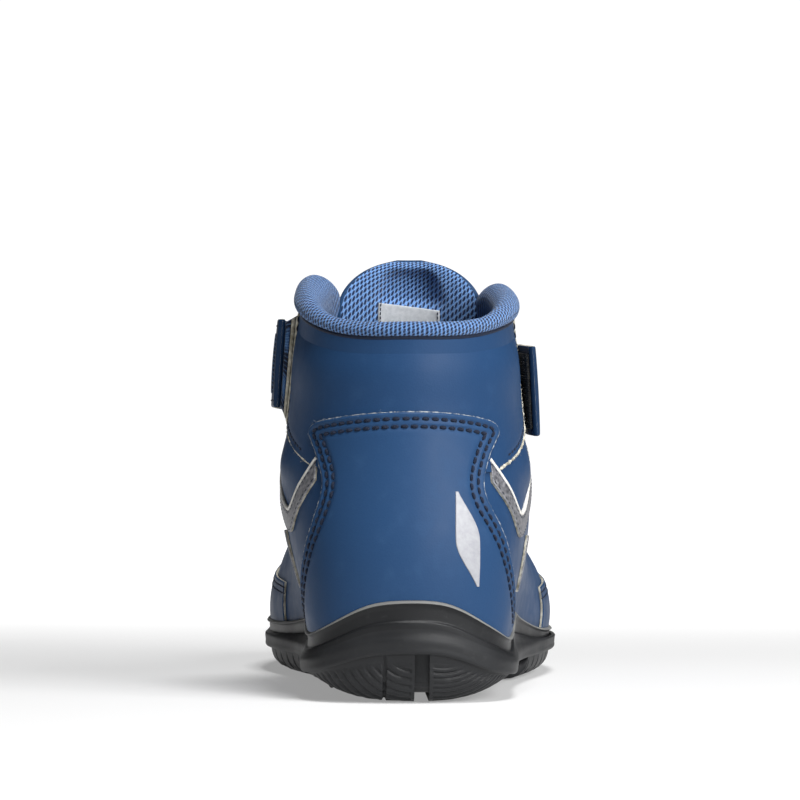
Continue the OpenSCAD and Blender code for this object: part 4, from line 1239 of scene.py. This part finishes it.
def lace():
    """One flat braided lace in straight bars, ends tucked inside."""
    P, Nn = [], []
    for i, e in enumerate(EYE_U):
        u = e if i % 2 == 0 else N - e
        w = N - u
        g = lambda a, v, d: skin(np.array(a), np.array(v), np.array(d))
        m = lambda f, up: f * g(u, 4.0, 3.0) + (1 - f) * g(w, 4.0, 3.0) + np.array([0, 0, up])
        row = [g(u, EYE_V, -2.9), g(u, EYE_V, -0.6), g(u, EYE_V + 0.01, 1.2),
               g(u, EYE_V + 0.05, 2.3),
               g(u, 3.97, 2.7), m(0.8, 0.3), m(0.65, 0.6), m(0.5, 0.75), m(0.35, 0.6), m(0.2, 0.3),
               g(w, 3.97, 2.7), g(w, EYE_V + 0.05, 2.3), g(w, EYE_V + 0.01, 1.2), g(w, EYE_V, -0.6),
               g(w, EYE_V, -2.9)]
        n0, n1 = skin_n(u, 3.9), skin_n(w, 3.9)
        mid = unit(n0 + n1)
        s0, s1 = unit(g(u, 3.9, 0.0) - g(w, 3.9, 0.0)), unit(g(w, 3.9, 0.0) - g(u, 3.9, 0.0))
        nn = [s0, s0, unit(s0 + n0), n0, n0, mid, mid, mid, mid, mid, n1, n1, unit(s1 + n1), s1, s1]
        P += row
        Nn += nn
    P, Nn = np.array(P), np.array(Nn)
    sp, sn = Open(P), Open(Nn)
    t = np.linspace(0, len(P) - 1, (len(P) - 1) * 7 + 1)
    tube("lace_flat_braid", sp(t), 2.3, 0.75, normals=sn(t), mat=M_LACE, k=14, slot="lace",
         replaces=("lace",))


lace()

# ---------------------------------------------------------------- tongue
tongue_rows = Open(TONGUE)


def tongue_pt(r, a, d):
    """Point of the tongue: row r, across a (-1..1), depth d (0 outside, 1 inside)."""
    r, a, d = np.broadcast_arrays(np.asarray(r, float), np.asarray(a, float), np.asarray(d, float))
    q = tongue_rows(r)
    t = unit(tongue_rows(np.minimum(13, r + 0.05))[..., :2]
             - tongue_rows(np.maximum(0, r - 0.05))[..., :2])
    k = q[..., 3] * a * a + d * q[..., 4]
    return np.stack([TONGUE_X + 0.9 + q[..., 2] * 1.045 * a, q[..., 0] - k * t[..., 1],
                     q[..., 1] + k * t[..., 0]], -1)


def tongue():
    nr, k = 170, 96
    r = np.linspace(0, 13, nr)
    r = 13 * (0.93 * (r / 13) + 0.07 * np.sin(np.pi * r / 26))
    ang = np.arange(k) * 2 * np.pi / k
    # rounded slab section: superellipse across a and d
    ca, sa = np.cos(ang), np.sin(ang)
    a = np.sign(ca) * np.abs(ca) ** 0.42
    d = 0.5 + 0.5 * np.sign(sa) * np.abs(sa) ** 0.8
    R, A = np.meshgrid(r, a, indexing="ij")
    D = np.repeat(d[None], nr, 0)
    end = np.sqrt(np.clip((13.02 - R) / 0.55, 0.004, 1))
    A = A * (0.9 + 0.1 * end)
    D = 0.5 + (D - 0.5) * end
    # sewn channels on the outside, crowned padding between them
    chan = np.exp(-((np.abs(A) - 0.62) / 0.045) ** 2) + np.exp(-((R - 12.15) / 0.09) ** 2) * 0.8
    D = D + np.where(D < 0.5, 1, 0) * 0.16 * chan * end
    # thick rolled rim round a recess on the side that faces the leg
    bay = (1 - smooth(0.3, 0.52, np.abs(A))) * smooth(9.9, 10.5, R) * (1 - smooth(11.5, 12.25, R))
    rim_ = np.exp(-((np.abs(A) - 0.72) / 0.26) ** 2) * smooth(7.5, 9, R)
    dip = (1 - smooth(0.3, 0.55, np.abs(A))) * smooth(7, 8.5, R) * (1 - smooth(11.5, 12.2, R))
    D = D + np.where(D > 0.5, 1, 0) * (0.12 * rim_ - 0.62 * bay - 0.22 * dip) * end
    P = tongue_pt(R, A, D)
    verts = P.reshape(-1, 3)
    faces = [tuple(f) for f in grid_faces(nr, k, wrap=True)]
    faces += [tuple(range(k - 1, -1, -1)), tuple((nr - 1) * k + i for i in range(k))]
    y = np.cumsum(np.r_[0, np.linalg.norm(np.diff(P[:, 0], axis=0), axis=-1)])
    uv = np.stack([P[..., 0] * 1.15, np.repeat(y[:, None], k, 1)], -1).reshape(-1, 2)
    rim = np.abs(A.reshape(-1)) > 0.93
    idx = [int(np.mean([rim[i] or (i // k) / nr > 0.975 for i in f]) > 0.6) for f in faces]
    o = mesh("tongue_padded_knit", verts, faces, [M_TONGUE, M_VAMP], idx, uv, body=None,
             slot="knit_mesh", replaces=("tongue", "tongue_top"))
    tuple((tongue_pt(7.6, 0, 0) + CENTRE) / 1000)
    tuple((tongue_pt(8.5, 0, 0) + CENTRE) / 1000)
    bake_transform(o)


tongue()


def label():
    n, m = 30, 22
    a = np.linspace(-0.43, 0.41, n)
    r = np.linspace(8.9, 10.3, m)
    A, R = np.meshgrid(a, r)
    R = R - 0.32 * (A + 0.43) / 0.84 * (R - 8.9) / 1.4
    P0, P1 = tongue_pt(R, A, 0.86), tongue_pt(R, A, 0.98)
    verts = np.concatenate([P1.reshape(-1, 3), P0.reshape(-1, 3)])
    faces = two_sheets(m, n)[0]
    mesh("tongue_label_blank", verts, faces, M_LABEL, uvs=verts[:, [0, 2]], body="tongue_top",
         slot="label", replaces=("tongue_label",))
    edge = [tongue_pt(r, -0.4 + 0 * r, 1.0), tongue_pt(9.0 + 0 * a, a * 0.92, 1.0),
            tongue_pt(8.9 + 0.94 * (r - 8.9) * 0.8, 0.38 + 0 * r, 1.0)]
    C, D = [], []
    for p in edge:
        p = resample(p, 1.6)
        C.append((p[1:] + p[:-1]) / 2)
        D.append(np.diff(p, axis=0))
    C, D = np.concatenate(C), np.concatenate(D)
    N_ = np.tile([0.0, -1.0, 0.1], (len(C), 1))
    capsules("tongue_label_stitches", C, D, N_, 1.2, 0.22, M_STITCH, body="tongue_top", slot="label")


label()


# ----------------------------------------------------------------- trims
def chevron(low, top, nm):
    u0, u1 = low[0][0], low[-1][0]
    f = cols_f(low, top, u0, u1)
    panel("chevron_%s_trim" % nm, f, 1.0, 0.0, mat=M_SILVER, edge_mat=M_RAW, cell=0.8, e=0.4,
          slot="silver_trim", replaces=("chevron_" + nm,))
    x = np.linspace(u0, u1, 140)
    vl, vt = curve(low, x), curve(top, x)
    sew("chevron_%s_stitches" % nm, [clean(np.stack([x, vt], -1), 0.8, False),
                                     clean(np.stack([x, vl], -1), 0.8, True)],
        0.9, pitch=2.4, length=1.8, r=0.26, slot="silver_trim")
    p = skin(x, vt + 0.02, 0 * x + 0.45)
    tube("chevron_%s_piping" % nm, p, 0.75, mat=M_PIPE, k=10, normals=skin_n(x, vt),
         slot="silver_trim")


chevron(CHEV_LOW, CHEV_TOP, "lateral")
chevron(mirror([(a + 0.25, b) for a, b in CHEV_LOW]), mirror([(a + 0.25, b) for a, b in CHEV_TOP]),
        "medial")

STRIPE = [(1.3, 2.95), (1.6, 2.82), (1.95, 2.84)]
panel("stripe_lateral_trim", rows_f(STRIPE, [(a, b + 0.16) for a, b in STRIPE], 1.3, 1.9), 1.0, 0,
      mat=M_SILVER, edge_mat=M_RAW, cell=0.8, e=0.4, slot="silver_trim",
      replaces=("stripe_lateral",))
panel("stripe_medial_trim", rows_f([(a, b - 0.16) for a, b in swap(STRIPE)], swap(STRIPE), 1.3, 1.9),
      1.0, 0, mat=M_SILVER, edge_mat=M_RAW, cell=0.8, e=0.4, slot="silver_trim",
      replaces=("stripe_medial",))

HALF = [(1.35, 0.95, 0.02), (1.88, 0.8, 0.19), (2.4, 0.66, 0.02)]
panel("heel_patch_print", rows_f([(v, c - b) for v, c, b in HALF], [(v, c + b) for v, c, b in HALF],
                                 1.35, 2.4), 1.75, 1.4, mat=M_PATCH, cell=0.7, e=0.25,
      slot="patch", replaces=("heel_patch",))

# ----------------------------------------------------------------- strap
s_low, s_top = Open(STRAP_LOW), Open(STRAP_TOP)


def strap0(t, s):
    s = np.asarray(s, float)[..., None]
    lean = smooth(7.8, 9.2, t)[..., None] * np.array([-1.7, 0, 0])
    return (1 - s) * (s_low(t) + lean) + s * (s_top(t) + 0.3 * lean)


def strap_n(t, s):
    return unit(np.cross(strap0(t, s + 0.02) - strap0(t, s - 0.02),
                         strap0(t + 0.02, s) - strap0(t - 0.02, s)))


def strap_at(t, s, d):
    t, s, d = np.broadcast_arrays(np.asarray(t, float), np.asarray(s, float), np.asarray(d, float))
    return strap0(t, s) + d[..., None] * strap_n(t, s)


def band(name, t0, t1, d0, d1, s0=0.0, s1=1.0, mat=None, edge=None, crown=0.35, nt=None,
         ends=(True, True), **kw):
    """Flat padded strip of the strap between two parameters, closed all round."""
    n = nt or int((t1 - t0) * 16) + 3
    x = np.linspace(t0, t1, n)
    w = 37.0 * (s1 - s0)
    prof = [(0.0, 0.5), (0.004, 0.14), (0.014, 0.03), (0.03, 0.0)]
    ss = np.array([p[0] for p in prof] + list(np.linspace(0.06, 0.94, 30))
                  + [1 - p[0] for p in prof[::-1]])
    rd = np.array([p[1] for p in prof] + [0.0] * 30 + [p[1] for p in prof[::-1]])
    cr = crown * np.sin(np.pi * ss) ** 0.6
    T, Sg = np.meshgrid(x, ss)
    h = d1 - d0
    end = np.zeros(n)
    if ends[0]:
        end = np.maximum(end, np.clip(1 - (x - t0) * 14 / 0.6, 0, 1))
    if ends[1]:
        end = np.maximum(end, np.clip(1 - (t1 - x) * 14 / 0.6, 0, 1))
    r = np.maximum(rd[:, None], 0.5 * end[None] ** 2)
    up = strap_at(T, s0 + (s1 - s0) * Sg, d1 - r * h + (cr[:, None] * (1 - end[None])))
    dn = strap_at(T, s0 + (s1 - s0) * Sg, d0 + r * h * 0.98 + 0 * T)
    nr, nc = T.shape
    verts = np.concatenate([up.reshape(-1, 3), dn.reshape(-1, 3)])
    faces, q = two_sheets(nr, nc)
    L = arc(up[nr // 2])
    uv = np.stack([np.tile(L, nr), np.repeat(ss * w, nc)], -1)
    uv = np.concatenate([uv, uv])
    idx = np.zeros(len(faces), int)
    if edge is not None:
        sr = np.repeat(ss, nc)
        sr = np.concatenate([sr, sr])
        for i, f in enumerate(faces):
            v = sr[list(f)].mean()
            if v < 0.006 or v > 0.994 or i >= len(faces) - q:
                idx[i] = 1
    return mesh(name, verts, faces, [mat, edge or mat], idx, uv, **kw)


def strap_sew(name, ts, ss, d, **kw):
    C, D, N_ = [], [], []
    for t, s in zip(ts, ss):
        t, s = np.broadcast_arrays(np.asarray(t, float), np.asarray(s, float))
        p = strap_at(t, s, d)
        L = arc(p)
        n = max(1, int(L[-1] / 2.9))
        x = (np.arange(n) + 0.5) * L[-1] / n
        tt, st = np.interp(x, L, t), np.interp(x, L, s)
        C.append(strap_at(tt, st, d))
        D.append(np.stack([np.interp(x + .6, L, p[:, k]) - np.interp(x - .6, L, p[:, k])
                           for k in range(3)], -1))
        N_.append(strap_n(tt, st))
    return capsules(name, np.concatenate(C), np.concatenate(D), np.concatenate(N_), 2.2, 0.34,
                    M_STITCH, slot="blue_leather", **kw)


def pt(t, s=0.5, d=0.0):
    return tuple(float(c) for c in (strap_at(t, s, d) + CENTRE) / 1000)


def joined(o, a, b, t0, t1):
    pt(t0)
    pt(t1)
    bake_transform(o)
    return o


SPLIT = 4.35
# two strips that butt at SPLIT
a = band("strap_medial_leather", 0.0, SPLIT - 0.001, -1.3, 0.9, mat=M_DARK, edge=M_RAW, body=None,
         ends=(True, False), slot="blue_leather", replaces=("strap_base",))
joined(a, "boot", "strap_front", *SWING_FOLD)
a = band("strap_medial_knit", 0.35, SPLIT - 0.12, 0.8, 1.35, 0.16, 0.84, mat=M_STRAP, crown=0.4,
         body=None, slot="knit_mesh")
joined(a, "boot", "strap_front", *SWING_FOLD)
b = band("strap_lateral_leather", SPLIT + 0.001, 10, -1.3, 0.9, mat=M_DARK, edge=M_RAW, body=None,
         ends=(False, True), slot="blue_leather", replaces=("strap_front", "strap_end"))
joined(b, "strap_front", "strap_end", *PEEL_FOLD)
b = band("strap_lateral_knit", SPLIT + 0.12, 9.2, 0.8, 1.35, 0.16, 0.84, mat=M_STRAP, crown=0.4,
         body=None, slot="knit_mesh")
joined(b, "strap_front", "strap_end", *PEEL_FOLD)
tt = np.linspace(0.1, SPLIT - 0.05, 120)
o = strap_sew("strap_medial_stitches", [tt, tt], [0.08 + 0 * tt, 0.92 + 0 * tt], 1.0, body=None)
joined(o, "boot", "strap_front", *SWING_FOLD)
tt = np.linspace(SPLIT + 0.05, 9.9, 160)
s_ = np.linspace(0.1, 0.9, 30)
o = strap_sew("strap_lateral_stitches", [tt, tt, 9.85 + 0 * s_], [0.08 + 0 * tt, 0.92 + 0 * tt, s_],
              1.0, body=None)
joined(o, "strap_front", "strap_end", *PEEL_FOLD)
band("strap_end_hook_tape", 8.3, 9.9, -2.3, -1.35, 0.08, 0.92, mat=M_HOOK, crown=0.0,
     body="strap_end", slot="hook_and_loop", replaces=("hook_tape",))
panel("loop_pad_pile",
      cols_f([(3.4, 3.02), (4.4, 3.02)], [(3.4, 3.8), (4.4, 3.7)], 3.4, 4.4), 1.3, 0,
      mat=M_PILE, cell=1.2, e=0.5, slot="hook_and_loop", replaces=("loop_pad",))


def anchor():
    """Folded layers that carry the strap on the medial side."""
    us = np.linspace(0, 1, 26)
    S, I = np.meshgrid(us, us, indexing="ij")
    inner = skin(-3.95 + 0.75 * I, 2.95 + 0.98 * S, 0.05 + 0 * I)
    outer = strap_at(0.9 - 0.9 * I, 0.04 + 0.92 * S, -1.4 + 0 * I)
    faces, q = two_sheets(len(us), len(us))
    idx = [0] * (len(faces) - q) + [1] * q
    for nm, f0, f1, mt in (("felt", 0.0, 0.32, M_FOAM), ("leather", 0.36, 0.62, M_VAMP),
                           ("knit", 0.66, 0.98, M_STRAP)):
        A = inner + (outer - inner) * f0
        B = inner + (outer - inner) * f1
        verts = np.concatenate([A.reshape(-1, 3), B.reshape(-1, 3)])
        uv = np.stack([arc(A), arc(A.transpose(1, 0, 2)).T], -1).reshape(-1, 2)
        mesh("strap_anchor_" + nm, verts, faces, [mt, M_RAW if nm != "knit" else mt], idx,
             np.concatenate([uv, uv]), slot="blue_leather",
             replaces=("strap_anchor",) if nm == "leather" else ())


anchor()


# -------------------------------------------------------------- inner parts
def sock():
    """Sockliner: a thin cushion with a rounded edge."""
    u = np.linspace(0, N, 240, endpoint=False)
    rows = []
    for k, dz in ((12.6, 1.3), (12.4, 2.6), (12.6, 4.2), (13.4, 4.8)):
        p = inset(u, np.full(len(u), float(k)))
        rows.append(np.c_[p, floor_z(p[:, 1]) + dz])
    rows = np.array(rows)
    nr, nc = rows.shape[:2]
    verts = rows.reshape(-1, 3)
    faces = [tuple(f) for f in grid_faces(nr, nc, wrap=True)]
    faces += lid(nc, 0, True) + lid(nc, (nr - 1) * nc, False)
    o = mesh("sockliner_knit", verts, faces, M_LINING, uvs=verts[:, :2], slot="sockliner",
             replaces=("sockliner",))


sock()
for n in ("insole_board", "heel_counter", "toe_puff", "collar_foam", "foam_lateral", "foam_medial"):
    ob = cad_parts[n]
    if not ob.material_slots:
        ob.data.materials.append(M_FOAM)
    for sl in ob.material_slots:
        sl.material = M_FOAM

# ----------------------------------------------------------- stage, light
scene = bpy.context.scene
scene.view_settings.view_transform = "Standard"
scene.view_settings.look = "None"
world = bpy.data.worlds.new("studio")
scene.world = world
world.use_nodes = True
wt = world.node_tree
back = wt.nodes["Background"]
way = wt.nodes.new("ShaderNodeTexCoord")
xyz = wt.nodes.new("ShaderNodeSeparateXYZ")
fall = wt.nodes.new("ShaderNodeMapRange")
fall.interpolation_type = "SMOOTHSTEP"
# white surroundings straight behind the boot, nearly black elsewhere
for k, v in (("From Min", 0.96), ("From Max", 0.99), ("To Min", 0.03), ("To Max", 1.06)):
    fall.inputs[k].default_value = v
wt.links.new(way.outputs["Generated"], xyz.inputs[0])
wt.links.new(xyz.outputs["Y"], fall.inputs["Value"])
wt.links.new(fall.outputs[0], back.inputs[1])
back.inputs[0].default_value = (1, 1, 1, 1)

fm = Mat("floor", (0.55, 0.55, 0.55, 1), 0.8, Specular_IOR_Level=0.1)
# the floor glows more towards its far side
fp = fm.node("SeparateXYZ", {0: fm.node("TexCoord").outputs["Object"]})
fm.b.inputs["Emission Color"].default_value = (1, 1, 1, 1)
glow = fm.node("MapRange", {"Value": fp.outputs[1], "From Min": 0.1, "From Max": 0.8, "To Min": 0.3,
                            "To Max": 1.05}, interpolation_type="SMOOTHSTEP").outputs[0]
fm.t.links.new(glow, fm.b.inputs["Emission Strength"])
bpy.ops.mesh.primitive_plane_add(size=12, location=(0, 0, -0.0002))
floor = bpy.context.object
floor.name = "floor"
floor.data.materials.append(fm.m)


def area(name, loc, target, size, power):
    d = bpy.data.lights.new(name, "AREA")
    d.shape, d.size, d.energy = "DISK", size, power
    o = bpy.data.objects.new(name, d)
    scene.collection.objects.link(o)
    o.location = loc
    o.rotation_euler = (Vector(target) - Vector(loc)).to_track_quat("-Z", "Y").to_euler()


area("key", (1.15, -1.15, 0.9), (0, -0.1, 0.07), 1.1, 25)
area("front", (0.75, -1.5, 0.6), (0, -0.1, 0.09), 0.5, 10)
area("top", (0.2, -0.6, 1.4), (0, -0.1, 0.08), 0.5, 19)

cam_data = bpy.data.cameras.new("camera")
cam = bpy.data.objects.new("camera", cam_data)
scene.collection.objects.link(cam)
scene.camera = cam
cam_data.sensor_width = 36
cam_data.lens = 202
AZ, EL, DIST = math.radians(-1.2), math.radians(0.0), 1.5
target = Vector((-0.0079, -0.143, 0.1017))
away = Vector((math.sin(AZ) * math.cos(EL), -math.cos(AZ) * math.cos(EL), math.sin(EL)))
cam.location = target + away * DIST
cam.rotation_euler = (-away).to_track_quat("-Z", "Y").to_euler()
